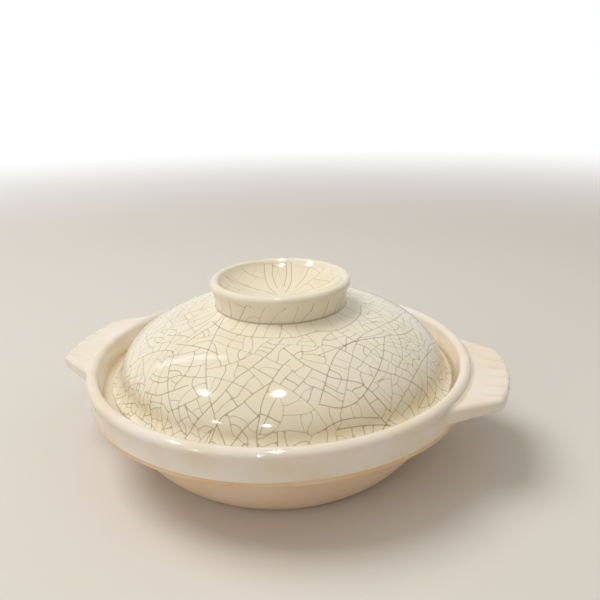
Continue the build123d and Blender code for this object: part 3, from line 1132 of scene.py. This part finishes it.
class Cracks:
    """The cracks of one glazed surface, on its chart."""

    def __init__(self, chart, seed, hole=None):
        self.chart = chart
        self.random = np.random.default_rng(seed)
        self.low, self.high = chart.flatten([edge_gap, chart.lengths[-1] - edge_gap], 0)[:, 0]
        self.low = 0.0 if chart.has_axis else self.low
        self.hole = hole
        self.lines = []
        self.starts = np.zeros((0, 2))
        self.ends = np.zeros((0, 2))

    def off_edge(self, point):
        """Whether a chart point lies past the edges of the glaze."""
        reach = math.hypot(*point)
        if not self.low <= reach <= self.high:
            return True
        return self.hole is not None and math.dist(point, self.hole[0]) < self.hole[1]

    def add(self, points, strength):
        """Keeps a crack."""
        points = np.array(points)
        if len(points) > 1:
            self.lines.append((points, strength))
            self.starts = np.vstack([self.starts, points[:-1]])
            self.ends = np.vstack([self.ends, points[1:]])

    def first_hit(self, here, ahead):
        """The share of a step at which it first meets an older crack, or None."""
        steps = self.ends - self.starts
        step = ahead - here
        gaps = self.starts - here
        with np.errstate(divide="ignore", invalid="ignore"):
            share = cross(gaps, steps) / cross(step, steps)
            other = cross(gaps, step) / cross(step, steps)
        met = share[(share > same_spot) & (share <= 1) & (other >= 0) & (other <= 1)]
        return met.min() if len(met) else None

    def run(self, start, heading, bend, longest, passes=0):
        """Grows a line from a point until an older crack or the edge stops it."""
        here = np.array(start)
        points = [here]
        travelled = 0
        while travelled < longest:
            unit = crack_step / float(self.chart.scale(here))
            nearest = np.argmin(np.sum((self.starts - here) ** 2, axis=1)) if len(self.starts) else None
            if nearest is not None and not passes:
                gap = self.starts[nearest] - here
                if math.hypot(*gap) < landing_reach * unit / crack_step:
                    off = math.remainder(math.atan2(gap[1], gap[0]) - heading, 2 * math.pi)
                    if abs(off) < landing_cone:
                        heading += float(np.clip(off, -landing_turn, landing_turn))
            ahead = here + unit * np.array([math.cos(heading), math.sin(heading)])
            share = self.first_hit(here, ahead)
            if share is not None:
                if not passes:
                    points.append(here + (ahead - here) * (share + overshoot))
                    return points
                passes -= 1
            if self.off_edge(ahead):
                return points
            points.append(ahead)
            here = ahead
            travelled += crack_step
            heading += bend * crack_step + self.random.normal(0, crack_wander)
        return points

    def fill(self, count, small, large, waves, strengths, bend=crack_bend, calm=0):
        """Splits every patch that is larger than wanted. Within the radius calm they stay larger."""
        random, chart = self.random, self.chart
        share = np.cumsum(chart.radii)
        spots_at = np.interp(random.uniform(0, share[-1], count), share, chart.lengths)
        spots = chart.flatten(spots_at, random.uniform(0, 2 * math.pi, count))
        spots = np.array([spot for spot in spots if not self.off_edge(spot)])
        scales = chart.scale(spots)
        lumps = waves(chart.lay(spots)[0])[0]
        lumps = (lumps - lumps.min()) / (lumps.max() - lumps.min())
        wanted = small + (large - small) * lumps * random.uniform(*patch_spread_shares, len(spots))
        wanted *= np.where(chart.radius(spots) < calm, calm_share, 1.0)
        near = np.full(len(spots), np.inf)
        for points, _ in self.lines:
            gaps = np.linalg.norm(spots[:, None] - points[None], axis=2).min(axis=1)
            near = np.minimum(near, gaps * scales)
        made = 0
        while True:
            widest = np.argmax(near / wanted)
            if near[widest] < wanted[widest] / 2:
                break
            spot = spots[widest]
            gap = self.starts[np.argmin(np.sum((self.starts - spot) ** 2, axis=1))] - spot
            heading = math.atan2(gap[1], gap[0]) + random.normal(0, first_turn)
            turn = random.normal(0, bend)
            passes = int(random.random() < crossing_chance)
            ahead = self.run(spot, heading, turn, longest_crack, passes)
            back = self.run(spot, heading + math.pi, -turn, longest_crack)
            points = np.array(back[::-1] + ahead[1:])
            self.add(points, random.uniform(*strengths))
            gaps = np.linalg.norm(spots[:, None] - points[None], axis=2).min(axis=1)
            near = np.minimum(near, gaps * scales)
            near[widest] = 0
            made += 1
        return made


def smooth_line(points, spacing):
    """A curve through a few points, read off at even steps."""
    points = np.asarray(points, float)
    padded = np.vstack([2 * points[0] - points[1], points, 2 * points[-1] - points[-2]])
    shares = np.linspace(0, 1, spline_steps, endpoint=False)[:, None]
    parts = []
    for before, here, there, after in zip(padded, padded[1:], padded[2:], padded[3:]):
        parts.append(0.5 * (2 * here + (there - before) * shares
                            + (2 * before - 5 * here + 4 * there - after) * shares**2
                            + (3 * here - before - 3 * there + after) * shares**3))
    parts.append(points[-1:])
    path = np.vstack(parts)
    lengths = lengths_along(path)
    return read_along(path, np.linspace(0, lengths[-1], max(2, round(lengths[-1] / spacing))))[0]


# %% [markdown]
# ## The longest cracks
# The eye knows this lid by its longest cracks, so those were read off the picture, a few points each.
# Each point is a line of sight: it is followed from the camera until it meets the dome.
# %% Long cracks of the dome
long_crack_pixels = {
    "left fall": ((282.6, 338.7), (270.2, 352.2), (250.1, 368.2), (236, 378.2), (221.2, 395.3),
                  (207.6, 408.9), (194.7, 424.2), (184, 439)),
    "middle fall": ((290, 359.3), (280.8, 367.6), (269.6, 385.3), (261.9, 403), (259.6, 416),
                    (256.6, 434.8), (257.2, 446.6)),
    "branch": ((270.2, 382.9), (251.3, 395.3), (238.3, 406.5), (220, 419.5), (208.8, 443.1)),
    "low branch": ((258.4, 416), (244.2, 428.9), (230.6, 446)),
    "shoulder": ((223, 315.7), (213.5, 325.1), (202.9, 331), (187.6, 341.6)),
    "left ring": ((177, 344), (192.3, 345.8), (207.6, 349.3), (218.3, 354.6)),
    "low left ring": ((145.1, 391.8), (156.9, 395.3), (171.1, 391.2), (187.6, 385.3)),
    "right fall": ((385.7, 336.5), (362, 339.5), (347.6, 344.4), (337.9, 351.6), (330.6, 365),
                   (324.5, 385.6), (319.7, 402.5)),
    "right loop": ((384.5, 337.1), (382.7, 357.7), (374.2, 378.3), (364.5, 394.1), (353.6, 403.8),
                   (339, 408), (319.7, 404.4)),
    "long right": ((322.1, 344.4), (337.9, 348), (364.5, 362.6), (379.1, 369.8), (409.4, 380.7),
                   (419, 386.8), (429.9, 397.7)),
    "across": ((283.3, 348), (303.9, 363.8), (325.7, 374.7), (335.4, 378.3), (360.9, 383.2),
               (366.9, 388), (386.3, 407.4), (391.2, 412.2)),
    "crown ring": ((213, 322), (222, 328.5), (235.7, 333.7), (252, 336.6), (270, 337.6),
                   (294.2, 337.1), (318.5, 331), (337.9, 329.8), (354.8, 320.1), (360.9, 311.7),
                   (360.3, 305.6)),
    "low right": ((318.5, 433.4), (337.9, 421.9), (354.8, 418.3), (379.1, 418.3)),
    "lowest right": ((339.1, 429.8), (354.8, 426.8), (382.7, 425), (390, 425.6)),
    "right spur": ((363.3, 395.3), (375.4, 412.2), (390, 426.2)),
    "right shoulder": ((413.6, 328.6), (403.3, 334.1), (385.1, 335.3)),
}
sight_near, sight_far = 150, 420
long_strength, crease_strength = 0.78, 0.8
crease_step = 1.5
rising = slice(0, np.argmax(outer_chart.radii > seat_outer))
chart_reach = outer_chart.radii[rising]


def see_dome(pixel):
    """The chart point of the dome that a pixel of the picture shows."""
    half = picture_width / 2
    ray = camera_axes @ Vector(((pixel[0] - half) / focal_pixels, (half - pixel[1]) / focal_pixels, -1))
    ray.normalize()
    steps = np.arange(sight_near, sight_far, chart_step)
    sight = np.array(camera_place) + steps[:, None] * np.array(ray)
    reach = np.hypot(sight[:, 0] - lid_shift, sight[:, 1])
    above = sight[:, 2] - np.interp(reach, chart_reach, outer_chart.heights[rising])
    met = np.flatnonzero((above < 0) & (reach < seat_outer))[0]
    length = np.interp(reach[met], chart_reach, outer_chart.lengths[rising])
    return outer_chart.flatten(length, math.atan2(sight[met, 1], sight[met, 0] - lid_shift))


hole_angle = math.pi / 2
hole_radii = steam_hole_distance + np.array([-1, 1]) * (steam_hole_radius + steam_hole_round)
hole_flat = outer_chart.flatten(np.interp(hole_radii, chart_reach, outer_chart.lengths[rising]), hole_angle)
hole_spot = (hole_flat.mean(axis=0), math.dist(*hole_flat) / 2 + edge_gap)
dome_cracks = Cracks(outer_chart, seed=12, hole=hole_spot)
for pixels in long_crack_pixels.values():
    seen = np.array([see_dome(pixel) for pixel in pixels])
    dome_cracks.add(smooth_line(seen, crack_step / float(outer_chart.scale(seen).mean())), long_strength)
# A dark line as strong as a crack is drawn round the crease at the knob's foot.
crease_length = 0.25
crease_angles = np.radians(np.arange(0, 361, crease_step))
crease_ring = outer_chart.flatten(np.full(len(crease_angles), crease_length), crease_angles)
dome_cracks.add(crease_ring, crease_strength)

# %% [markdown]
# ## The rest of the dome's net
# The picture doesn't show the back of the dome, so most of the other long cracks start there. Short
# spokes leave the collar under the knob, and the patches near it stay larger, as on the real lid. The
# rest of the net grows by the rule.
# %% Cracks that grow on the dome
unseen_count = 26
unseen_reach_shares = (0.15, 0.85)
unseen_bend = 1 / 60
unseen_ahead, unseen_back = (25, 60), (20, 50)
unseen_strengths = (0.5, 0.78)
for number in range(unseen_count):
    random = dome_cracks.random
    length = random.uniform(*unseen_reach_shares) * outer_chart.lengths[rising][-1]
    angle = math.radians(random.uniform(0, 180) if number % 3 else random.uniform(180, 360))
    start = outer_chart.flatten(length, angle)
    heading = random.uniform(0, 2 * math.pi)
    turn = random.normal(0, unseen_bend)
    ahead = dome_cracks.run(start, heading, turn, random.uniform(*unseen_ahead), passes=2)
    back = dome_cracks.run(start, heading + math.pi, -turn, random.uniform(*unseen_back), passes=2)
    dome_cracks.add(back[::-1] + ahead[1:], random.uniform(*unseen_strengths))

collar_spokes = 22
collar_jitter_share = 0.3
collar_lean, collar_bend = 0.2, 1 / 40
collar_spoke_length = 10
collar_strengths = (0.45, 0.7)
for number in range(collar_spokes):
    random = dome_cracks.random
    jitter = random.uniform(-collar_jitter_share, collar_jitter_share)
    angle = 2 * math.pi * (number + jitter) / collar_spokes
    start = outer_chart.flatten(2 * crease_length, angle)
    heading = angle + random.normal(0, collar_lean)
    spoke = dome_cracks.run(start, heading, random.normal(0, collar_bend), collar_spoke_length)
    dome_cracks.add(spoke, random.uniform(*collar_strengths))

dome_spots = 16000
small_patch, large_patch = 3.1, 6.4
calm_radius = 44
dome_strengths = (0.5, 0.75)
patch_waves = make_waves(seed=31, depth=1.0, shortest=30, longest=90)
made = dome_cracks.fill(dome_spots, small_patch, large_patch, patch_waves, dome_strengths, calm=calm_radius)
print("dome has", len(dome_cracks.lines), "cracks,", made, "of them grown to fill")

# %% [markdown]
# ## Cracks of the knob and of the lid's inside
# In the dish the cracks run outwards like spokes. The knob's wall has slanted cracks of its own, which
# start at its foot. The lid's inside has larger patches, and most of its cracks are fainter.
# %% Other crack nets
knob_cracks = Cracks(knob_chart, seed=41)
spoke_count = 22
slant_count = 27
slant_length = 12.0
spoke_jitter_share, slant_jitter_share = 0.35, 0.3
spoke_start_shares = (0.08, 0.45)
spoke_lean, spoke_bend, spoke_length = 0.15, 1 / 70, 32
slant_lean, slant_lean_spread, slant_bend = 0.45, 0.2, 1 / 25
spoke_strengths, slant_strengths = (0.55, 0.8), (0.5, 0.8)
dish_length = math.hypot(dish_radius, dish_sink)
for number in range(spoke_count):
    random = knob_cracks.random
    jitter = random.uniform(-spoke_jitter_share, spoke_jitter_share)
    angle = 2 * math.pi * (number + jitter) / spoke_count
    start = knob_chart.flatten(random.uniform(*spoke_start_shares) * dish_length, angle)
    heading = angle + random.normal(0, spoke_lean)
    ahead = knob_cracks.run(start, heading, random.normal(0, spoke_bend), spoke_length, passes=1)
    knob_cracks.add(ahead, random.uniform(*spoke_strengths))
wall_start = knob_chart.lengths[-1] - edge_gap
for number in range(slant_count):
    random = knob_cracks.random
    jitter = random.uniform(-slant_jitter_share, slant_jitter_share)
    angle = 2 * math.pi * (number + jitter) / slant_count
    heading = angle + math.pi - random.normal(slant_lean, slant_lean_spread)
    start = knob_chart.flatten(wall_start, angle)
    slant = knob_cracks.run(start, heading, random.normal(0, slant_bend), slant_length)
    knob_cracks.add(slant, random.uniform(*slant_strengths))
knob_spots = 5000
knob_small_patch, knob_large_patch = 6.5, 11.0
knob_strengths = (0.4, 0.65)
knob_cracks.fill(knob_spots, knob_small_patch, knob_large_patch, patch_waves, knob_strengths)

# %% Cracks of the lid's inside
inner_count = 16
inner_reach_shares = (0.1, 0.8)
inner_angle_end = 6.3
inner_bend, inner_length = 1 / 70, 50
inner_long_strengths, inner_strengths = (0.6, 0.9), (0.3, 0.6)
inner_spots = 3000
inner_small_patch, inner_large_patch = 8.0, 15.0

inner_rising = slice(0, np.argmax(inner_chart.radii))
inner_hole_radii = [np.interp(radius, inner_chart.radii[inner_rising], inner_chart.lengths[inner_rising])
                    for radius in hole_radii]
inner_hole = inner_chart.flatten(inner_hole_radii, hole_angle)
inner_spot = (inner_hole.mean(axis=0), math.dist(*inner_hole) / 2 + edge_gap)
inner_cracks = Cracks(inner_chart, seed=51, hole=inner_spot)
for number in range(inner_count):
    random = inner_cracks.random
    length = random.uniform(*inner_reach_shares) * inner_chart.lengths[-1]
    start = inner_chart.flatten(length, random.uniform(0, inner_angle_end))
    heading = random.uniform(0, 2 * math.pi)
    turn = random.normal(0, inner_bend)
    ahead = inner_cracks.run(start, heading, turn, inner_length, passes=2)
    back = inner_cracks.run(start, heading + math.pi, -turn, inner_length, passes=2)
    inner_cracks.add(back[::-1] + ahead[1:], random.uniform(*inner_long_strengths))
inner_cracks.fill(inner_spots, inner_small_patch, inner_large_patch, patch_waves, inner_strengths)
print("knob has", len(knob_cracks.lines), "cracks, the inside", len(inner_cracks.lines))

# %% [markdown]
# ## Skins cut along their cracks
# The cracks have to be thin and sharp in the model itself, so each glazed skin is cut into triangles
# along them. Points stand on each crack and close beside it. The value "crack" is the strength of the
# crack on its line and 0 beside it, and the triangles between carry it across. Where the profile bends,
# whole rings are kept.
# %% Skins
crack_half_width = 0.45
along_step = 1.15
node_step = 0.2
base_gap = 2.3
tight_gap = 1.3
ring_count = 240
skin_turn = 8
fewest_in_ring = 6
whole_ring_share = 4
loose_clear = 1.0
side_clear_share = 0.7
ring_angles = np.linspace(0, 2 * math.pi, ring_count, endpoint=False)


def cut_skin(chart, cracks, hole=None):
    """Triangles of a skin on its chart, and the value of the cracks at each point."""
    end = chart.lengths[-1]
    nodes, node_ways, node_strengths = [], [], []
    rows, side_rows = [], []
    for points, strength in cracks.lines:
        lengths = lengths_along(points)
        scale = float(chart.scale(points).mean())
        count = max(2, round(lengths[-1] * scale / along_step) + 1)
        centre, headings = read_along(points, np.linspace(0, lengths[-1], count))
        ways = np.stack([np.cos(headings), np.sin(headings)], axis=1)
        rows.append(centre)
        gaps = (crack_half_width / chart.scale(centre))[:, None]
        for side in (1, -1):
            side_rows.append(centre + side * gaps * np.stack([-ways[:, 1], ways[:, 0]], axis=1))
        fine = max(2, round(lengths[-1] * scale / node_step) + 1)
        fine_points, fine_headings = read_along(points, np.linspace(0, lengths[-1], fine))
        nodes.append(fine_points)
        node_ways.append(np.stack([np.cos(fine_headings), np.sin(fine_headings)], axis=1))
        node_strengths.append(np.full(fine, strength))
    nodes, node_ways = np.vstack(nodes), np.vstack(node_ways)
    node_strengths = np.concatenate(node_strengths)
    tree = kdtree.KDTree(len(nodes))
    for number, node in enumerate(nodes):
        tree.insert((node[0], node[1], 0), number)
    tree.balance()

    def find(points):
        """The nearest node of each point, and its distance on the surface."""
        found = [tree.find((float(x), float(y), 0))[1:] for x, y in points]
        numbers = np.array([number for number, _ in found])
        return numbers, np.array([gap for _, gap in found]) * chart.scale(points)

    path = np.stack([chart.radii, chart.heights], axis=1)
    rings = stations(path, base_gap, skin_turn)
    loose = []
    for number, length in enumerate(rings):
        radius = float(np.interp(length, chart.lengths, chart.radii))
        nearest = min(abs(length - other) for other in rings if other != length)
        edge = number in (0, len(rings) - 1)
        if radius < chart_step:
            loose.append(np.zeros((1, 2)))
            continue
        if (edge and radius > base_gap) or (nearest < tight_gap and radius > base_gap * whole_ring_share):
            ring = chart.flatten(np.full(ring_count, length), ring_angles)
            rows.append(np.vstack([ring, ring[:1]]))
            continue
        count = max(fewest_in_ring, round(2 * math.pi * radius / base_gap))
        angles = np.linspace(0, 2 * math.pi, count, endpoint=False) + number
        ring = chart.flatten(np.full(count, length), angles)
        loose.append(ring[find(ring)[1] > loose_clear])
    low, high = chart.flatten([edge_gap / 2, end - edge_gap / 2], 0)[:, 0]
    for side_row in side_rows:
        reach = np.hypot(*side_row.T)
        clear = (find(side_row)[1] > side_clear_share * crack_half_width) & (reach < high)
        clear &= (reach > low) | chart.has_axis
        breaks = np.flatnonzero(~clear)
        for number, part in enumerate(np.split(side_row, breaks)):
            part = part[1:] if number else part
            if len(part) > 1:
                rows.append(part)
            elif len(part):
                loose.append(part)
    loose = np.vstack(loose)
    if hole is not None:
        rows.append(np.vstack([hole, hole[:1]]))
        centre = hole.mean(axis=0)
        size = math.dist(hole[0], centre)
        loose = loose[np.linalg.norm(loose - centre, axis=1) > size + edge_gap / 2]
    points, faces = cut_up(rows, loose)
    centroids = points[faces].mean(axis=1)
    kept = np.hypot(*centroids.T) > (0 if chart.has_axis else chart.flat[0])
    if hole is not None:
        kept &= np.linalg.norm(centroids - centre, axis=1) > size * math.cos(math.pi / len(hole))
    used, faces = np.unique(faces[kept], return_inverse=True)
    points, faces = points[used], faces.reshape(-1, 3)
    turns = cross(points[faces[:, 1]] - points[faces[:, 0]], points[faces[:, 2]] - points[faces[:, 0]])
    faces[turns < 0] = faces[turns < 0][:, ::-1]
    numbers, distances = find(points)
    gaps = points - nodes[numbers]
    along = np.abs(np.sum(gaps * node_ways[numbers], axis=1)) * chart.scale(points)
    beside_line = np.abs(cross(node_ways[numbers], gaps)) * chart.scale(points)
    distances = np.where(along < node_step, beside_line, distances)
    strength = node_strengths[numbers]
    values = strength * np.clip(1 - distances / crack_half_width, 0, 1)
    return points, faces, values


def fade_between(chart, points, start, end, soft):
    """1 between two distances along the profile and 0 well outside of them."""
    lengths = np.interp(np.hypot(*points.T), chart.flat, chart.lengths)
    return ease((lengths - start) / soft + 1) * ease((end - lengths) / soft + 1)


def match(points, wanted):
    """The numbers of the points that stand at wanted places."""
    return np.array([np.argmin(np.sum((points - spot) ** 2, axis=1)) for spot in wanted])


# %% Knob mesh
lip_soft = 1.5
lip_fade_share = 0.85
dish_end_share, dish_soft_share = 0.8, 0.25
# The dish takes the thick glaze colour towards its middle: pooled glaze and painted shade.
dish_pool_and_shade = 0.5
knob = Maker()
points, faces, values = cut_skin(knob_chart, knob_cracks)
lip_starts = lengths_along(dish_run)[-1]
lip_ends = lip_starts + lengths_along(lip_arc)[-1]
on_lip = fade_between(knob_chart, points, lip_starts, lip_ends, lip_soft)
in_dish = fade_between(knob_chart, points, 0, dish_end_share * lip_starts, dish_soft_share * lip_starts)
knob_crack = values * (1 - lip_fade_share * on_lip)
numbers = knob.add(*sink(*knob_chart.lay(points), lid_waves), crack=knob_crack, pool_and_shade=dish_pool_and_shade * in_dish)
knob.faces.extend(numbers[faces].tolist())
knob_end = np.full(ring_count, knob_chart.lengths[-1])
foot_loop = numbers[match(points, knob_chart.flatten(knob_end, ring_angles))]
middle = knob.add([(lid_shift, 0, collar_top)], [(0, 0, -1)])[0]
knob.fan(middle, foot_loop[::-1])
lid_knob = knob.finish("Lid_knob", crackle_glaze)
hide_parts("lid_knob")
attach(lid_knob, "lid")

# %% [markdown]
# ## The dome's mesh
# The dome is one closed piece: the outer skin, the inner skin, the flat seat between them, which is wiped
# free of glaze so that the lid doesn't stick to the pot, and the steam hole through the wall.
# %% Dome mesh
dome = Maker()
hole_count = 48
hole_angles = np.linspace(0, 2 * math.pi, hole_count, endpoint=False)
hole_turns = np.radians((30, 60, 90))
seat_rows = (0.3, 0.9)
foot_pool_and_shade, foot_pool_and_shade_reach, foot_pool_and_shade_soft = 0.05, 10, 8


def hole_loop(chart, radius):
    """The steam hole's outline on a chart."""
    x, y = radius * np.cos(hole_angles), steam_hole_distance + radius * np.sin(hole_angles)
    inward = slice(0, np.argmax(chart.radii > steam_hole_distance + 2 * steam_hole_radius))
    lengths = np.interp(np.hypot(x, y), chart.radii[inward], chart.lengths[inward])
    return chart.flatten(lengths, np.arctan2(y, x))


def hole_rows(chart):
    """Rows that roll from a skin into the steam hole."""
    into = np.column_stack([-np.cos(hole_angles), -np.sin(hole_angles), np.zeros(hole_count)])
    rows = []
    for turn in hole_turns:
        radius = steam_hole_radius + steam_hole_round * (1 - math.sin(turn))
        places, normals = chart.lay(hole_loop(chart, radius))
        places[:, 2] -= chart.side * steam_hole_round * (1 - math.cos(turn))
        normals = math.cos(turn) * normals + math.sin(turn) * into
        places, normals = sink(places, normals, lid_waves)
        rows.append(dome.add(places, normals))
    return rows


def add_skin(chart, cracks):
    """Adds a skin of the dome and returns its edge loops: the hole's, the outer and the inner one."""
    hole = hole_loop(chart, steam_hole_radius + steam_hole_round)
    points, faces, values = cut_skin(chart, cracks, hole)
    end = chart.lengths[-1]
    # Near each skin's foot the glaze takes a little of its thick colour: pooled glaze and painted shade.
    pool_and_shade = fade_between(chart, points, end - foot_pool_and_shade_reach, end, foot_pool_and_shade_soft) * foot_pool_and_shade
    numbers = dome.add(*sink(*chart.lay(points), lid_waves), crack=values, pool_and_shade=pool_and_shade)
    dome.faces.extend(numbers[faces if chart.side > 0 else faces[:, ::-1]].tolist())
    rings = [chart.flatten(np.full(ring_count, length), ring_angles) for length in chart.lengths[[-1, 0]]]
    return [numbers[match(points, loop)] for loop in (hole, *rings)]


outer_hole, outer_loop, crown_loop = add_skin(outer_chart, dome_cracks)
inner_hole_loop, inner_loop, _ = add_skin(inner_chart, inner_cracks)
middle = dome.add([(lid_shift, 0, collar_top)], [(0, 0, 1)])[0]
dome.fan(middle, crown_loop)
wall_loops = [outer_hole, *hole_rows(outer_chart), *hole_rows(inner_chart)[::-1], inner_hole_loop]
for loop, after in zip(wall_loops, wall_loops[1:]):
    dome.strip(loop, after)

seat_radii = [outer_chart.radii[-1] - gap for gap in seat_rows]
seat_radii += [inner_chart.radii[-1] + gap for gap in seat_rows[::-1]]
seat_loops = [outer_loop]
for radius in seat_radii:
    ring = np.column_stack([lid_shift + radius * np.cos(ring_angles), radius * np.sin(ring_angles),
                            np.full(ring_count, lid_base)])
    down = np.tile([0, 0, -1.0], (ring_count, 1))
    seat_loops.append(dome.add(*sink(ring, down, lid_waves), bare=1.0))
seat_loops.append(inner_loop)
for loop, after in zip(seat_loops, seat_loops[1:]):
    dome.strip(after, loop)
lid_dome = dome.finish("Lid_dome", crackle_glaze)
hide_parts("lid_dome")
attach(lid_dome, "lid")

# %% [markdown]
# ## Floor, light and air
# The pot stands on a plain pale floor that fades to white far out, so no horizon shows. The key is a broad
# soft lamp from the upper left, a weaker one from the front left lights the band, and a weak warm one
# fills from the right. These three light the pot and don't show in its gloss. Four small lamps and a long
# dim one do the opposite: they show in the glaze and light nothing. The world lights the pot warmly from
# low down and nearly neutrally from above, and it is white to the eye and to gloss.
# %% Floor
def seen_directly(tree):
    """1 for the camera's rays, and for those that gloss or glass sends on, and 0 for light."""
    rays = put(tree, "ShaderNodeLightPath").outputs
    seen = combine(tree, "MAXIMUM", rays["Is Camera Ray"], rays["Is Glossy Ray"])
    return combine(tree, "MAXIMUM", seen, rays["Is Transmission Ray"])


floor_reach = 6.0
fade_start, fade_end = 0.45, 1.6
floor_color = shade(222, 218, 212)
floor_roughness, floor_gloss = 0.9, 0.1
floor_material = bpy.data.materials.new("Pale floor")
floor_material.use_nodes = True
tree = floor_material.node_tree
shader = tree.nodes["Principled BSDF"]
shader.inputs["Base Color"].default_value = floor_color
shader.inputs["Roughness"].default_value = floor_roughness
shader.inputs["Specular IOR Level"].default_value = floor_gloss
where = put(tree, "ShaderNodeTexCoord").outputs["Object"]
far = put(tree, "ShaderNodeVectorMath", {0: where}, operation="LENGTH").outputs["Value"]
white = put(tree, "ShaderNodeEmission", {"Color": (1, 1, 1, 1), "Strength": 1.0}).outputs[0]
fade = combine(tree, "MULTIPLY", between(tree, far, fade_start, fade_end), seen_directly(tree))
both = put(tree, "ShaderNodeMixShader", {0: fade, 1: shader.outputs[0], 2: white})
tree.links.new(both.outputs[0], tree.nodes["Material Output"].inputs["Surface"])
floor_mesh = bpy.data.meshes.new("Floor")
corners = [(x * floor_reach, y * floor_reach, 0) for x, y in ((-1, -1), (1, -1), (1, 1), (-1, 1))]
floor_mesh.from_pydata(corners, [], [(0, 1, 2, 3)])
floor_mesh.materials.append(floor_material)
floor = bpy.data.objects.new("Floor", floor_mesh)
bpy.context.scene.collection.objects.link(floor)

# %% Lamps
lamp_distance = 1.6


def add_lamp(name, direction, size, strength, color=(1, 1, 1), gloss_only=False):
    """A round flat lamp that faces the pot. The broad ones light it, the others only show in the glaze."""
    data = bpy.data.lights.new(name, "AREA")
    data.shape = "DISK"
    data.size = size
    data.energy = strength
    data.color = color
    lamp = bpy.data.objects.new(name, data)
    lamp.visible_glossy = gloss_only
    lamp.visible_diffuse = not gloss_only
    way = Vector(direction).normalized()
    lamp.location = way * lamp_distance
    lamp.rotation_mode = "QUATERNION"
    lamp.rotation_quaternion = way.to_track_quat("Z", "Y")
    bpy.context.scene.collection.objects.link(lamp)
    return lamp


broad_lamps = {
    "Soft key": ((-0.38, -0.08, 0.85), 0.9, 13.8, (1.0, 0.98, 0.95)),
    "Front": ((-0.4, -0.8, 0.45), 1.2, 3.2, (1.0, 0.97, 0.91)),
    "Fill": ((0.7, 0.1, 0.8), 1.4, 1.8, (1.0, 0.9, 0.72)),
}
for name, (direction, size, strength, color) in broad_lamps.items():
    add_lamp(name, direction, size, strength, color)

tube_start, tube_end = Vector((-0.839, 0.209, 0.502)), Vector((-0.393, 0.326, 0.860))
tube_width, tube_strength, tube_color = 0.12, 0.95, (0.9, 0.87, 1.0)
tube_middle = (tube_start + tube_end) / 2
tube = add_lamp("Long tube", tube_middle, tube_width, tube_strength, tube_color, gloss_only=True)
tube.data.shape = "RECTANGLE"
tube.data.size_y = (tube_end - tube_start).length * lamp_distance
tube_face = tube_middle.normalized()
tube_side = (tube_end - tube_start).cross(tube_face).normalized()
tube_axes = Matrix((tube_side, tube_face.cross(tube_side), tube_face)).transposed()
tube.rotation_quaternion = tube_axes.to_quaternion()
spot_lamps = {
    "Spot high left": ((-0.54, -0.272, 0.795), 0.055, 24.0),
    "Spot high right": ((0.03, -0.235, 0.972), 0.075, 34.0),
    "Spot low left": ((-0.432, -0.852, 0.297), 0.055, 14.0),
    "Spot low right": ((0.089, -0.924, 0.372), 0.06, 18.0),
}
spot_height_share = 1.7
spot_color = (1.0, 0.96, 0.9)
for name, (direction, size, strength) in spot_lamps.items():
    spot = add_lamp(name, direction, size, strength, spot_color, gloss_only=True)
    spot.data.shape = "ELLIPSE"
    spot.data.size_y = size * spot_height_share

# %% World
world = bpy.data.worlds.new("White studio")
bpy.context.scene.world = world
world.use_nodes = True
tree = world.node_tree
low_level, high_level = 0.18, 0.47
low_air, high_air = 0.0, 0.9
ambient = tree.nodes["Background"]
low_color, high_color = (1.0, 0.88, 0.72, 1.0), (1.0, 0.98, 0.95, 1.0)
direction = put(tree, "ShaderNodeTexCoord").outputs["Generated"]
height = put(tree, "ShaderNodeSeparateXYZ", {0: direction}).outputs["Z"]
level = between(tree, height, low_air, high_air, low_level, high_level)
tree.links.new(level, ambient.inputs["Strength"])
air_color = blend(tree, between(tree, height, low_air, high_air), low_color, high_color)
tree.links.new(air_color, ambient.inputs["Color"])
backdrop = put(tree, "ShaderNodeBackground", {"Color": (1, 1, 1, 1), "Strength": 1.0})
both = put(
    tree, "ShaderNodeMixShader", {0: seen_directly(tree), 1: ambient.outputs[0], 2: backdrop.outputs[0]})
tree.links.new(both.outputs[0], tree.nodes["World Output"].inputs["Surface"])
bpy.context.scene.view_settings.view_transform = "Standard"
